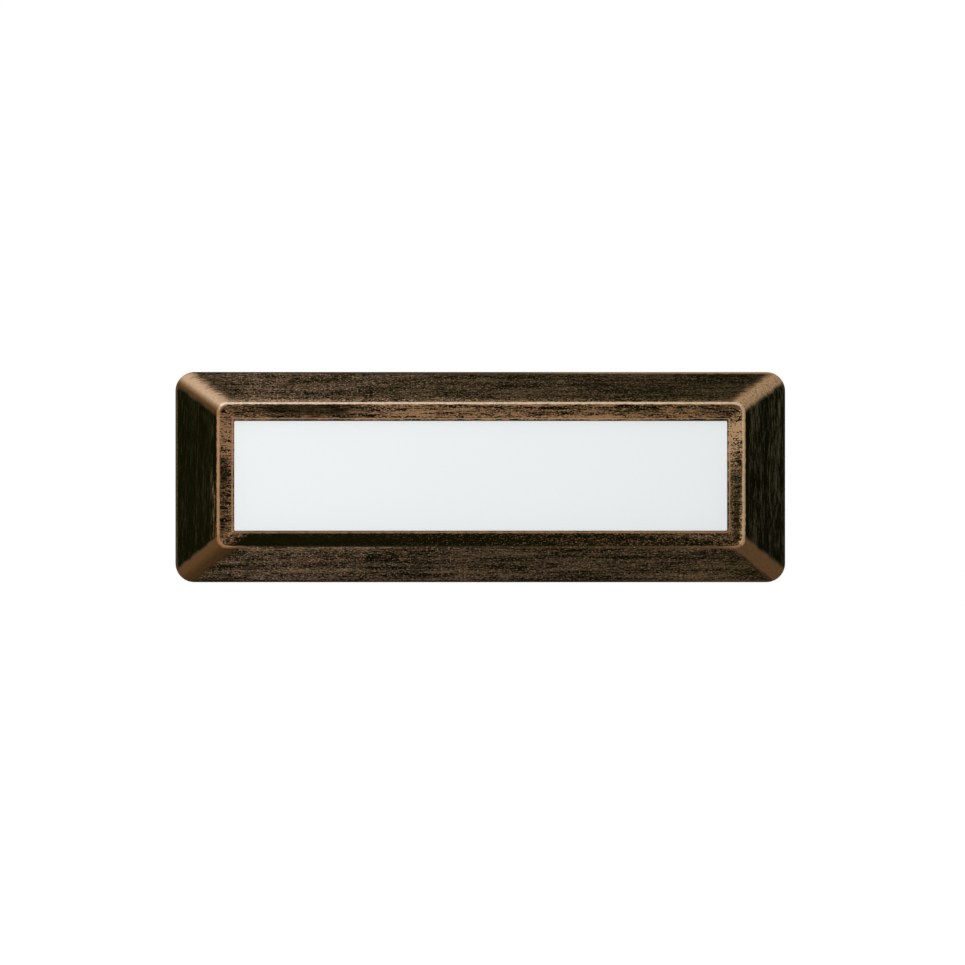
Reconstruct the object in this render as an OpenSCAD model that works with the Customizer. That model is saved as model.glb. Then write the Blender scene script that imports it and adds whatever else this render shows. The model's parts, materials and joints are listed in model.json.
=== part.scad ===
// Recessed outdoor wall light: a cast front frame with an opal diffuser pulls off a lamp housing,
// and the housing stands in a box that is built into the wall.
// Each part is drawn lying on its back: x is the length, y is up, z is the distance in front of
// the wall. The module stand_up turns it upright, so that the front looks along -Y.

/* [Front frame] */
// Length of the window
window_w = 232; // [220:1:250]
// Height of the window
window_h = 52; // [48:1:58]
// Run of the inner slope at the two ends
inner_run_x = 6.5; // [6:0.1:9]
// Run of the inner slope above and below
inner_run_y = 7.5; // [6.5:0.1:9]
// Run of the outer slope at the two ends
outer_run_x = 22.5; // [20:0.5:28]
// Run of the outer slope above and below
outer_run_y = 16.5; // [15:0.5:20]
// Distance of the ridge in front of the wall
ridge_z = 22; // [21:0.5:25]
// Height of the straight rim at the wall
rim_z = 3; // [2.5:0.1:4]
// Height of the lip round the window
lip_z = 16; // [15.5:0.1:16.5]
// Thickness of the lip above the diffuser's seat
lip_t = 1.5; // [1.2:0.1:2]
// Width of the flat land on the lip
lip_land = 0.8; // [0.5:0.1:1.2]
// Wall of the casting
cast_wall = 2.5; // [2:0.1:3]
// Radius of the frame's corners
corner_r = 9; // [6:0.5:12]
// Radius of the ridge's corners
ridge_r = 4.5; // [3:0.1:6]
// Radius of the window's corners
window_r = 0.6; // [0.4:0.1:1.5]
// Rounding of the rim's edge
rim_round = 0.9; // [0.5:0.1:1.5]
// Rounding of the ridge
ridge_round = 1.5; // [0.8:0.1:2]
// Rounding of the lip
lip_round = 0.25; // [0.1:0.05:0.4]

/* [Diffuser] */
// Width of the seat round the window
seat_margin = 6; // [5.5:0.1:7]
// Wall of the collar round the diffuser
collar_wall = 1.8; // [1.5:0.1:2.2]
// Thickness of the diffuser's gasket
gasket_t = 0.8; // [0.5:0.1:1]
// Thickness of the diffuser's flange
glass_t = 2.5; // [2:0.1:3]
// Gap between the raised panel and the window
panel_gap = 0.35; // [0.25:0.05:0.5]
// Depth of the panel's front behind the lip
panel_below = 0.3; // [0.1:0.1:0.6]
// Chamfer on the edge of the panel
panel_chamfer = 0.5; // [0.2:0.1:0.8]
// Gap between the flange and the collar
glass_gap = 0.3; // [0.2:0.1:0.5]

/* [Clips and springs] */
// Radius of the screw bosses on the frame
boss_r = 2.4; // [2.1:0.1:2.6]
// Thickness of the diffuser clips
clip_t = 1; // [0.8:0.1:1.2]
// Width of the diffuser clips
clip_w = 12; // [9:1:16]
// Hold of a clip on the diffuser's flange
clip_hold = 2.4; // [1.5:0.1:2.5]
// Distance of the outer clips from the middle
clip_x = 100; // [85:1:105]
// Distance of the snap springs from the middle
spring_x = 55; // [45:1:65]
// Width of the snap springs
spring_w = 10; // [8:1:12]
// Thickness of the spring strip
spring_t = 0.5; // [0.4:0.1:0.6]
// Reach of the springs behind the wall plane
spring_reach = 12; // [10:1:15]

/* [Lamp housing] */
// Overlap of the housing's mouth past the window
mouth_margin = 3; // [2.5:0.1:3.3]
// Wall of the housing
tub_wall = 2.2; // [2:0.1:2.5]
// Thickness of the housing's back
tub_back = 2.5; // [2:0.1:3]
// Depth of the housing behind the wall plane
tub_depth = 50; // [48:1:54]
// Thickness of the housing's flange
flange_t = 2.5; // [2:0.1:3]
// Overlap of the flange past the wall box
flange_cover = 5; // [4:0.1:5.4]
// Length of the shallow end that leaves room for the gland
pocket_l = 44.8; // [42:0.2:48]
// Compressed thickness of the foam against the wall
wall_seal_t = 1.8; // [1.5:0.1:2]
// Thickness of the seal on the housing's mouth
mouth_seal_t = 2; // [1.5:0.1:2.5]

/* [Light source] */
// Depth of the reflector tray's underside behind the wall plane
tray_depth = 20; // [18:0.5:22]
// Thickness of the tray's sheet
tray_t = 1.2; // [1:0.1:1.5]
// Height of the tray's sides
tray_h = 12; // [9:1:16]
// Thickness of the light-source board
board_t = 1.6; // [1.2:0.1:2]
// Height of the board
board_h = 38; // [34:1:42]
// Distance from the board's end to the tray's end
board_end = 15.3; // [14:0.1:18]
// Side of one light-source chip
chip_w = 3; // [2:0.1:3.6]
// Chips in each row
chip_columns = 12; // [8:1:16]
// Distance between the two rows of chips
chip_rows = 18; // [14:1:22]

/* [Driver] */
// Length of the driver case
driver_l = 92; // [84:1:96]
// Width of the driver case
driver_w = 34; // [32:1:38]
// Height of the driver case with its lid
driver_h = 19; // [18:0.5:22]
// Wall of the driver case
driver_wall = 1.6; // [1.4:0.1:2]
// Thickness of the driver's lid
lid_t = 1.5; // [1.2:0.1:2]

/* [Terminal block] */
// Length of the terminal block
block_l = 22; // [20:0.5:24]
// Height of the terminal block
block_h = 12; // [11:0.5:13]
// Distance between neighbouring poles
pole_pitch = 6.6; // [6.4:0.1:7.2]
// Wall between neighbouring levers
cheek_t = 1.1; // [1:0.1:1.3]
// Length of a lever from its hinge
lever_l = 13; // [11:0.5:14]
// Radius of a lever's hub
hub_r = 1.7; // [1.5:0.1:1.9]
// Radius of a lever's hinge pins
pin_r = 0.9; // [0.7:0.1:1]
// Room for the supply cores beside the block
wiring_room = 26; // [24:0.5:30]

/* [Cable gland] */
// Width across the flats of the gland
gland_af = 18; // [17:0.5:20]
// Radius of the gland's thread
gland_thread_r = 7.9; // [7:0.1:8.2]
// Radius of the hole for the cable in the gland's seal
cable_r = 3.8; // [3:0.1:4.2]

/* [Wall box] */
// Depth of the wall box
box_depth = 70; // [68:1:80]
// Wall of the box
box_wall = 2.5; // [2:0.1:3]
// Room between housing and box at each end
post_room = 9.5; // [9:0.1:10]
// Room between housing and box above and below
spring_room = 4.5; // [4.3:0.1:5]
// Width of the screw posts
post_w = 12; // [10:0.5:14]
// Length of the threaded inserts
insert_l = 12; // [10:0.5:14]
// Height of the ribs that key into the mortar
key_h = 2.5; // [1.5:0.5:3]
// Distance between the fixing holes along the box
fixing_x = 170; // [150:5:180]
// Distance between the fixing holes up the box
fixing_y = 44; // [38:1:48]
// Radius of the fixing holes
fixing_r = 2.4; // [2:0.1:3]
// Distance of the cable entries from the ends of the housing
entry_in = 15; // [14:0.5:18]
// Radius of the cable entries
entry_r = 9; // [8:0.5:9.5]
// Thickness of the lips of the rubber rings in the entries
ring_lip_t = 1.5; // [1.2:0.1:1.8]
// Width of those lips
ring_lip_w = 2; // [1.5:0.1:2.2]
// Radius of the hole in the grommet
grommet_r = 4; // [3.5:0.1:5]

/* [Hidden] */

// Clearances that several parts share
easy = 0.3;
snug = 0.1;
touch = 0.05;
corner_steps = 7;

// Half sizes and heights of the front frame
window_x = window_w / 2;
window_y = window_h / 2;
ridge_x = window_x + inner_run_x;
ridge_y = window_y + inner_run_y;
frame_x = ridge_x + outer_run_x;
frame_y = ridge_y + outer_run_y;
rise = ridge_z - rim_z;
slope_wall_x = cast_wall / sin(atan2(rise, outer_run_x));
slope_wall_y = cast_wall / sin(atan2(rise, outer_run_y));
seat_x = window_x + seat_margin;
seat_y = window_y + seat_margin;
shelf_z = lip_z - lip_t;
glass_front = shelf_z - gasket_t;
glass_back = glass_front - glass_t;
panel_z = lip_z - panel_below;
core_z = shelf_z + 2;
shelf_r = 2;

// Bosses on the back of the frame, their screws, and the plates they hold
boss_y = seat_y + collar_wall + boss_r - 0.8;
boss_top = rim_z + (frame_y - boss_y - boss_r) * rise / outer_run_y - 1.4;
boss_clips = [-clip_x, 0, clip_x];
boss_springs = [-spring_x, spring_x];
small_shank_r = 1.05;
small_head_r = 2.2;
small_head_h = 1.6;
wide_shank_r = 1.2;
wide_head_r = 2.6;
wide_head_h = 2;
tray_screw_l = 9;
ear_screw_l = 5.5;
lid_shank_r = 0.85;
lid_head_r = 1.9;
lid_head_h = 1.3;
lid_screw_l = 7;

// Half sizes and heights of the housing and the wall box
tub_x = window_x + mouth_margin;
tub_y = window_y + mouth_margin;
tub_in_x = tub_x - tub_wall;
tub_in_y = tub_y - tub_wall;
tub_r = 5;
mouth_z = glass_back - mouth_seal_t - snug;
flange_back = wall_seal_t + snug;
flange_front = flange_back + flange_t;
floor_z = tub_back - tub_depth;
box_in_x = tub_x + post_room;
box_in_y = tub_y + spring_room;
box_x = box_in_x + box_wall;
box_y = box_in_y + box_wall;
box_r = 6;
box_floor = box_wall - box_depth;
flange_x = box_x + flange_cover;
flange_y = box_y + flange_cover;
step_in_x = tub_x - pocket_l - tub_wall;
roof_gap = 1.8;
roof_z = -tray_depth - roof_gap;
deep_mid = (step_in_x - tub_in_x) / 2;
deep_half = (step_in_x + tub_in_x) / 2;
slot_w = spring_w + 2;
slot_y = box_in_y - easy;

// Housing screws stand in posts at the two ends of the wall box
post_x = tub_x + 1.5;
screw_x = (post_x + box_in_x) / 2;
main_shank_r = 1.9;
main_head_r = 3.6;
main_head_h = 2.6;
washer_t = 1;
insert_r = 3;

// Reflector tray and board
tray_x = tub_in_x - easy;
tray_y = tub_in_y - easy;
tray_top = tray_t - tray_depth;
board_x = tray_x - tray_t - board_end;
board_y = board_h / 2;
board_top = tray_top + board_t;
tray_boss_x = [-tub_in_x + 8.8, step_in_x - 10];
tray_boss_y = tray_y - tray_t - 3.4;
tray_boss_r = 3.2;
board_screw_x = board_x - 4;
board_screw_y = board_y - 4;
chip_h = 0.8;

// Driver on the floor of the housing
lead_room = 10.8;
ear_l = 8;
ear_t = 1.6;
ear_w = 12;
ear_z = floor_z + 5;
driver_x = -tub_in_x + lead_room + ear_l + driver_l / 2;
driver_top = floor_z + driver_h;
lid_z = driver_top - lid_t;
lid_post_x = driver_l / 2 - driver_wall - 3.2;
lid_post_y = driver_w / 2 - driver_wall - 3.2;
lid_post_r = 2.6;
pcb_x = lid_post_x - lid_post_r - 0.4;
pcb_y = driver_w / 2 - driver_wall - 1;
pcb_z = floor_z + driver_wall + 3;
pcb_t = 1.5;
plug_x = 6;
plug_w = 14;
plug_h = 8;
coil_l = 18;
coil_w = 16;
coil_foot_t = 2;
coil_h = 9;
core_l = 14;
core_w = 13;
cap_x = 18;
cap_r = 4;
cap_h = 10;
choke_r = 5;
choke_bore_r = 2;
choke_h = 6;
fuse_r = 2.5;
fuse_h = 8;
fuse_y = 8;
lead_z = pcb_z + pcb_t + 5.5;
led_wire_z = board_top + 2;
grommet_x = -tub_in_x + 7.3;

// Terminal block
block_x = step_in_x - wiring_room - block_l / 2;
block_top = floor_z + block_h;
block_w = 3 * pole_pitch + cheek_t;
lever_w = pole_pitch - cheek_t - 2 * 0.2;
hinge_x = block_x + block_l / 2 - hub_r - 1.4;
hinge_z = block_top - hub_r;
port_z = floor_z + 4.5;
port_r = 1.7;
port_depth = 9;
block_ear = 7;
block_ear_top = floor_z + 4 + ear_t;
block_screw_l = 4.4;
main_wire_r = 1.1;
led_wire_r = 0.8;
earth_x = (driver_x + driver_l / 2 + ear_l + block_x - block_l / 2) / 2;
earth_y = -tub_in_y + 7;
earth_z = floor_z + 6;
lug_l = 6.2;

// Cable gland in the step of the housing
gland_z = (roof_z - tub_back + floor_z) / 2;
gland_hex_r = gland_af / sqrt(3);
wall_out_x = step_in_x + tub_wall;
oring_t = 1.2;
oring_w = 1;
hex_t = 4.5;
gland_neck_r = gland_thread_r - 0.7;
gland_bore_r = cable_r + 1.6;
gland_neck_l = 6;
nut_l = 13;
locknut_t = 4;

// Cable entries of the wall box
entry_x = tub_x - entry_in;
entry_recess = ring_lip_t + snug;
entry_back = entry_recess - box_depth;
entry_front = box_floor + entry_recess;

function outline(hx, hy, r) = [
  for (q = [0:3])
    for (i = [0:corner_steps])
      let (a = 90 * (q + i / corner_steps))
      let (cx = (q == 0 || q == 3) ? hx - r : r - hx)
      let (cy = q < 2 ? hy - r : r - hy)
      [cx + r * cos(a), cy + r * sin(a)]
];

// A ring is [half length, half height, corner radius, height]
function ring_points(g) = [for (p = outline(g[0], g[1], g[2])) [p[0], p[1], g[3]]];

// Rounds the corner c of a section with a curve that starts and ends d away from it
function rounding(a, c, b, d) =
  let (p = c + (a - c) * d / norm(a - c))
  let (q = c + (b - c) * d / norm(b - c))
  d == 0 ? [c] : [for (t = [0:0.25:1]) (1 - t) * (1 - t) * p + 2 * t * (1 - t) * c + t * t * q];

// Half size of the casting's inner face behind the outer slopes, at height z
function core_x(z) = frame_x - (z - rim_z) * outer_run_x / rise - slope_wall_x;
function core_y(z) = frame_y - (z - rim_z) * outer_run_y / rise - slope_wall_y;

// Section of the front frame: rings with the rounding of each, from the rim over the ridge to
// the window, round the diffuser's seat and collar, and back along the hollow
function frame_section() =
  let (out = collar_wall + shelf_r)
  [
    [[frame_x, frame_y, corner_r, 0], 0],
    [[frame_x, frame_y, corner_r, rim_z], rim_round],
    [[ridge_x, ridge_y, ridge_r, ridge_z], ridge_round],
    [[window_x + lip_land, window_y + lip_land, window_r + lip_land, lip_z], lip_round],
    [[window_x, window_y, window_r, lip_z - 0.1], lip_round],
    [[window_x, window_y, window_r, shelf_z], 0],
    [[seat_x, seat_y, shelf_r, shelf_z], 0],
    [[seat_x, seat_y, shelf_r, glass_back], 0],
    [[seat_x + collar_wall, seat_y + collar_wall, out, glass_back], 0],
    [[seat_x + collar_wall, seat_y + collar_wall, out, core_z], 0],
    [[core_x(core_z), core_y(core_z), out + 1, core_z], 0],
    [[frame_x - cast_wall, frame_y - cast_wall, corner_r - cast_wall, rim_z - 1], 0],
    [[frame_x - cast_wall, frame_y - cast_wall, corner_r - cast_wall, 0], 0]
  ];

function rounded_rings(s) = [
  for (i = [0:len(s) - 1])
    each rounding(s[(i + len(s) - 1) % len(s)][0], s[i][0], s[(i + 1) % len(s)][0], s[i][1])
];

// Skin between neighbouring rings of a closed section that goes all the way round
module closed_loft(rings) {
  n = 4 * (corner_steps + 1);
  k = len(rings);
  points = [for (g = rings) each ring_points(g)];
  faces = [
    for (i = [0:k - 1])
      for (j = [0:n - 1])
        let (a = i * n + j)
        let (b = i * n + (j + 1) % n)
        let (c = ((i + 1) % k) * n + (j + 1) % n)
        let (d = ((i + 1) % k) * n + j)
        each [[a, c, b], [a, d, c]]
  ];
  polyhedron(points, faces);
}

// Solid through rings that lie on each other
module stacked_loft(rings) {
  n = 4 * (corner_steps + 1);
  k = len(rings);
  points = [for (g = rings) each ring_points(g)];
  sides = [
    for (i = [0:k - 2])
      for (j = [0:n - 1])
        let (a = i * n + j)
        let (b = i * n + (j + 1) % n)
        each [[a, b + n, b], [a, a + n, b + n]]
  ];
  polyhedron(points, concat(sides, [[for (j = [0:n - 1]) j], [for (j = [n - 1:-1:0]) (k - 1) * n + j]]));
}

module stand_up() {
  rotate([90, 0, 0]) children();
}

module prism(hx, hy, r, z0, z1) {
  translate([0, 0, z0]) linear_extrude(z1 - z0) polygon(outline(hx, hy, r));
}

module frame_ring(hx, hy, r, w, z0, z1) {
  difference() {
    prism(hx, hy, r, z0, z1);
    prism(hx - w, hy - w, max(r - w, 0.5), z0 - 1, z1 + 1);
  }
}

module disc(r, z0, z1, sides = 32) {
  translate([0, 0, z0]) cylinder(r = r, h = z1 - z0, $fn = sides);
}

module disc_x(r, x0, x1, sides = 32) {
  translate([x0, 0, 0]) rotate([0, 90, 0]) cylinder(r = r, h = x1 - x0, $fn = sides);
}

// Six-sided bar along x, with a flat towards the front
module hex_x(r, x0, x1) {
  rotate([30, 0, 0]) disc_x(r, x0, x1, 6);
}

module block(x0, x1, y0, y1, z0, z1) {
  translate([x0, y0, z0]) cube([x1 - x0, y1 - y0, z1 - z0]);
}

// Pan-head screw with a cross recess; the head's underside is at height 0
module screw(head_r, head_h, shank_r, length) {
  difference() {
    union() {
      disc(shank_r, -length, head_h / 2);
      disc(head_r, 0, head_h * 0.55);
      translate([0, 0, head_h * 0.55]) cylinder(r1 = head_r, r2 = head_r * 0.72, h = head_h * 0.45, $fn = 32);
    }
    for (a = [0, 90]) {
      rotate([0, 0, a]) block(-head_r * 0.6, head_r * 0.6, -0.3, 0.3, head_h * 0.45, head_h + 1);
    }
  }
}

function heading(p, i) =
  let (a = p[max(i - 1, 0)])
  let (b = p[min(i + 1, len(p) - 1)])
  (b - a) / norm(b - a);

// Outline of a strip of thickness t along the line p
function strip(p, t) = concat(
  [for (i = [0:len(p) - 1]) let (d = heading(p, i)) p[i] + [-d[1], d[0]] * t / 2],
  [for (i = [len(p) - 1:-1:0]) let (d = heading(p, i)) p[i] - [-d[1], d[0]] * t / 2]
);

// Smooth line through the points p
function smooth_path(p, steps) = [
  for (i = [0:len(p) - 2])
    for (k = [0:steps - 1])
      let (t = k / steps)
      let (a = i == 0 ? 2 * p[0] - p[1] : p[i - 1])
      let (d = i == len(p) - 2 ? 2 * p[i + 1] - p[i] : p[i + 2])
      let (b = p[i])
      let (c = p[i + 1])
      0.5 * (2 * b + (c - a) * t + (2 * a - 5 * b + 4 * c - d) * t * t + (3 * b - a - 3 * c + d) * t * t * t),
  p[len(p) - 1]
];

// Round wire along the points, with ref square to most of its length
module wire(points, r, ref) {
  sides = 10;
  path = smooth_path(points, 5);
  k = len(path);
  skin = [
    for (i = [0:k - 1])
      let (t = heading(path, i))
      let (s = cross(t, ref) / norm(cross(t, ref)))
      let (u = cross(s, t))
      for (j = [0:sides - 1]) path[i] + r * (cos(360 * j / sides) * s + sin(360 * j / sides) * u)
  ];
  faces = [
    for (i = [0:k - 2])
      for (j = [0:sides - 1])
        let (a = i * sides + j)
        let (b = i * sides + (j + 1) % sides)
        each [[a, b, b + sides], [a, b + sides, a + sides]]
  ];
  ends = [[for (j = [sides - 1:-1:0]) j], [for (j = [0:sides - 1]) (k - 1) * sides + j]];
  polyhedron(skin, concat(faces, ends));
}

module both_sides() {
  children();
  mirror([0, 1, 0]) children();
}

// Front frame group

module bezel_frame() {
  color("#3a2a1d") stand_up() {
    difference() {
      union() {
        closed_loft(rounded_rings(frame_section()));
        both_sides() {
          for (x = concat(boss_clips, boss_springs)) {
            translate([x, boss_y, 0]) disc(boss_r, glass_back, boss_top);
          }
        }
      }
      both_sides() {
        for (x = concat(boss_clips, boss_springs)) {
          translate([x, boss_y, 0]) disc(small_shank_r + snug, glass_back - 1, boss_top - 0.8);
        }
      }
    }
  }
}

module diffuser() {
  panel_x = window_x - panel_gap;
  panel_y = window_y - panel_gap;
  edge_r = window_r;
  color("#eaeeef") stand_up() {
    union() {
      prism(seat_x - glass_gap, seat_y - glass_gap, shelf_r, glass_back, glass_front);
      stacked_loft([
        [panel_x, panel_y, edge_r, glass_front - 0.5],
        [panel_x, panel_y, edge_r, panel_z - panel_chamfer],
        [panel_x - panel_chamfer, panel_y - panel_chamfer, edge_r * 0.6, panel_z]
      ]);
    }
  }
}

module diffuser_gasket() {
  outer_x = seat_x - glass_gap;
  width = seat_margin - glass_gap - 0.4;
  color("#1c1c1c") stand_up() {
    frame_ring(outer_x, seat_y - glass_gap, shelf_r, width, glass_front, shelf_z);
  }
}

module diffuser_clips() {
  inner = seat_y - glass_gap - clip_hold;
  outer = boss_y + boss_r + 0.4;
  color("#b9bcbe") stand_up() both_sides() {
    for (x = boss_clips) {
      difference() {
        block(x - clip_w / 2, x + clip_w / 2, inner, outer, glass_back - clip_t, glass_back);
        translate([x, boss_y, 0]) disc(small_shank_r + easy, glass_back - clip_t - 1, glass_back + 1);
      }
    }
  }
}

module frame_screws(places, plate) {
  both_sides() {
    for (x = places) {
      translate([x, boss_y, glass_back - plate]) mirror([0, 0, 1]) {
        screw(small_head_r, small_head_h, small_shank_r, plate + boss_top - glass_back - 1.2);
      }
    }
  }
}

module clip_screws() {
  color("#8f9396") stand_up() frame_screws(boss_clips, clip_t);
}

// Leaf springs from the frame's bosses through the flange's slots, bulging behind the flange
module snap_springs() {
  foot = glass_back - spring_t / 2;
  leg = tub_y + 2.3;
  bulge = slot_y - easy - spring_t / 2;
  line = [
    [boss_y + boss_r, foot],
    [leg + 0.9, foot],
    [leg + 0.25, foot - 0.25],
    [leg, foot - 0.9],
    [leg, flange_front + 1.5],
    [bulge - 0.1, flange_back - 0.3],
    [bulge, flange_back - 1.3],
    [bulge - 0.2, flange_back - 2.4],
    [tub_y + 1, -spring_reach]
  ];
  color("#c9ccce") stand_up() both_sides() {
    for (x = boss_springs) {
      difference() {
        translate([x, 0, 0]) rotate([90, 0, 90]) linear_extrude(spring_w, center = true) {
          polygon(strip(line, spring_t));
        }
        translate([x, boss_y, 0]) disc(small_shank_r + easy, glass_back - 2, glass_back + 1);
      }
    }
  }
}

module spring_screws() {
  color("#8f9396") stand_up() frame_screws(boss_springs, spring_t);
}

// Lamp housing group

module floor_boss(x, y, r, top, bore_r) {
  translate([x, y, 0]) difference() {
    disc(r, floor_z - 1, top);
    disc(bore_r, floor_z + 0.6, top + 1);
  }
}

module lamp_housing() {
  color("#8b8f92") stand_up() {
    difference() {
      union() {
        prism(tub_x, tub_y, tub_r, roof_z - tub_back, mouth_z);
        translate([deep_mid, 0, 0]) prism(deep_half + tub_wall, tub_y, tub_r, -tub_depth, roof_z);
        prism(flange_x, flange_y, tub_r + 3, flange_back, flange_front);
      }
      prism(tub_in_x, tub_in_y, tub_r - tub_wall, roof_z, mouth_z + 1);
      translate([deep_mid, 0, 0]) prism(deep_half, tub_in_y, tub_r - tub_wall, floor_z, roof_z + 1);
      for (s = [-1, 1]) {
        translate([s * screw_x, 0, 0]) disc(main_shank_r + easy, flange_back - 1, flange_front + 1);
      }
      both_sides() {
        for (x = boss_springs) {
          block(x - slot_w / 2, x + slot_w / 2, tub_y + easy, slot_y, flange_back - 1, flange_front + 1);
        }
      }
      translate([0, 0, gland_z]) disc_x(gland_thread_r + snug, step_in_x - 1, wall_out_x + 1);
    }
    both_sides() {
      for (x = tray_boss_x) {
        floor_boss(x, tray_boss_y, tray_boss_r, -tray_depth, 1.3);
        difference() {
          block(x - 0.8, x + 0.8, tray_boss_y, tub_in_y + 0.5, floor_z - 1, -tray_depth - 2);
          translate([x, tray_boss_y, 0]) disc(tray_boss_r - 0.5, floor_z - 2, 0);
        }
      }
      block(tub_in_x - 14, tub_in_x - 12, tray_boss_y, tub_in_y + 0.5, roof_z - 1, -tray_depth);
    }
    for (s = [-1, 1]) {
      floor_boss(driver_x + s * (driver_l + ear_l) / 2, 0, 3, ear_z, 1.3);
      floor_boss(block_x, s * (block_w + block_ear) / 2, 2.6, floor_z + 4, 1.1);
    }
    floor_boss(earth_x, earth_y, 3.6, earth_z, 1.6);
  }
}

module wall_seal() {
  outer_x = flange_x - 0.5;
  outer_y = flange_y - 0.5;
  color("#2b2b2b") stand_up() {
    difference() {
      prism(outer_x, outer_y, tub_r + 2, snug, flange_back);
      prism(tub_x + 0.7, box_in_y + 0.1, tub_r, -1, flange_back + 1);
      for (s = [-1, 1]) {
        translate([s * screw_x, 0, 0]) disc(main_shank_r + 0.5, -1, flange_back + 1);
      }
    }
  }
}

module housing_seal() {
  color("#242424") stand_up() frame_ring(tub_x, tub_y, tub_r, tub_wall, mouth_z, mouth_z + mouth_seal_t);
}

module housing_screws() {
  color("#a8abad") stand_up() {
    for (s = [-1, 1]) {
      translate([s * screw_x, 0, flange_front + washer_t]) {
        screw(main_head_r, main_head_h, main_shank_r, washer_t + flange_front + insert_l - 1);
      }
    }
  }
}

module screw_seals() {
  color("#1f1f1f") stand_up() {
    for (s = [-1, 1]) {
      translate([s * screw_x, 0, 0]) difference() {
        disc(main_head_r + 0.2, flange_front, flange_front + washer_t);
        disc(main_shank_r + snug, flange_front - 1, flange_front + washer_t + 1);
      }
    }
  }
}

module gear_tray() {
  color("#f1f1ee") stand_up() {
    difference() {
      prism(tray_x, tray_y, tub_r - tub_wall, -tray_depth, tray_h - tray_depth);
      prism(tray_x - tray_t, tray_y - tray_t, tub_r - tub_wall - tray_t, tray_top, 1);
      both_sides() {
        for (x = tray_boss_x) {
          translate([x, tray_boss_y, 0]) disc(1.7, -tray_depth - 1, tray_top + 1);
        }
        for (s = [-1, 1]) {
          translate([s * board_screw_x, board_screw_y, 0]) disc(small_shank_r + touch, -tray_depth - 1, 0);
        }
      }
      translate([grommet_x, 0, 0]) disc(4, -tray_depth - 1, tray_top + 1);
    }
  }
}

module tray_screws() {
  color("#a8abad") stand_up() both_sides() {
    for (x = tray_boss_x) {
      translate([x, tray_boss_y, tray_top]) screw(wide_head_r, wide_head_h, wide_shank_r, tray_screw_l);
    }
  }
}

module tray_grommet() {
  color("#202020") stand_up() translate([grommet_x, 0, 0]) {
    difference() {
      union() {
        disc(3.9, -tray_depth - 1, tray_top + 1);
        disc(5.2, -tray_depth - 1.2, -tray_depth - touch);
        disc(5.2, tray_top + touch, tray_top + 1.2);
      }
      disc(2.6, -tray_depth - 3, tray_top + 3);
    }
  }
}

module led_board() {
  color("#f4f4f0") stand_up() {
    difference() {
      prism(board_x, board_y, 1, tray_top, board_top);
      both_sides() {
        for (s = [-1, 1]) {
          translate([s * board_screw_x, board_screw_y, 0]) {
            disc(small_shank_r + easy, tray_top - 1, board_top + 1);
          }
        }
      }
    }
  }
}

module led_chips() {
  pitch = 2 * (board_x - 12) / (chip_columns - 1);
  color("#e8d56a") stand_up() both_sides() {
    for (i = [0:chip_columns - 1]) {
      translate([i * pitch - board_x + 12, chip_rows / 2, board_top]) difference() {
        block(-chip_w / 2, chip_w / 2, -chip_w / 2, chip_w / 2, 0, chip_h);
        disc(chip_w * 0.38, chip_h - 0.15, chip_h + 1, 24);
      }
    }
  }
}

module led_connector() {
  color("#f7f7f7") stand_up() {
    difference() {
      block(-board_x + 1, -board_x + 7, -4, 4, board_top, board_top + 4);
      for (s = [-1, 1]) {
        translate([0, s * 2, led_wire_z]) disc_x(led_wire_r + snug, -board_x, -board_x + 4, 24);
      }
    }
  }
}

module board_screws() {
  color("#a8abad") stand_up() both_sides() {
    for (s = [-1, 1]) {
      translate([s * board_screw_x, board_screw_y, board_top]) {
        screw(small_head_r, small_head_h, small_shank_r, board_t + tray_t + 1.2);
      }
    }
  }
}

module driver_base() {
  hx = driver_l / 2;
  hy = driver_w / 2;
  color("#e9e9e6") stand_up() translate([driver_x, 0, 0]) {
    difference() {
      union() {
        difference() {
          prism(hx, hy, 1.5, floor_z, lid_z);
          prism(hx - driver_wall, hy - driver_wall, 0.6, floor_z + driver_wall, lid_z + 1);
        }
        for (s = [-1, 1]) {
          block(
            s > 0 ? hx - driver_wall / 2 : -hx - ear_l, s > 0 ? hx + ear_l : driver_wall / 2 - hx,
            -ear_w / 2, ear_w / 2, ear_z, ear_z + ear_t
          );
          translate([s * lid_post_x, s * lid_post_y, 0]) disc(lid_post_r, floor_z + 1, lid_z);
          for (t = [-1, 1]) {
            translate([s * (pcb_x - 4), t * (pcb_y - 4), 0]) disc(2, floor_z + 1, pcb_z);
          }
        }
      }
      for (s = [-1, 1]) {
        translate([s * (hx + ear_l / 2), 0, 0]) disc(1.7, ear_z - 1, ear_z + ear_t + 1);
        translate([s * lid_post_x, s * lid_post_y, 0]) disc(0.95, lid_z - 8, lid_z + 1, 24);
        translate([0, s * 4, lead_z]) disc_x(main_wire_r + easy, hx - driver_wall - 1, hx + 1, 24);
        translate([0, s * 3, lead_z]) disc_x(led_wire_r + easy, -hx - 1, driver_wall + 1 - hx, 24);
      }
    }
  }
}

module driver_board() {
  color("#2d6b3a") stand_up() translate([driver_x, 0, 0]) prism(pcb_x, pcb_y, 1, pcb_z, pcb_z + pcb_t);
}

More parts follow.
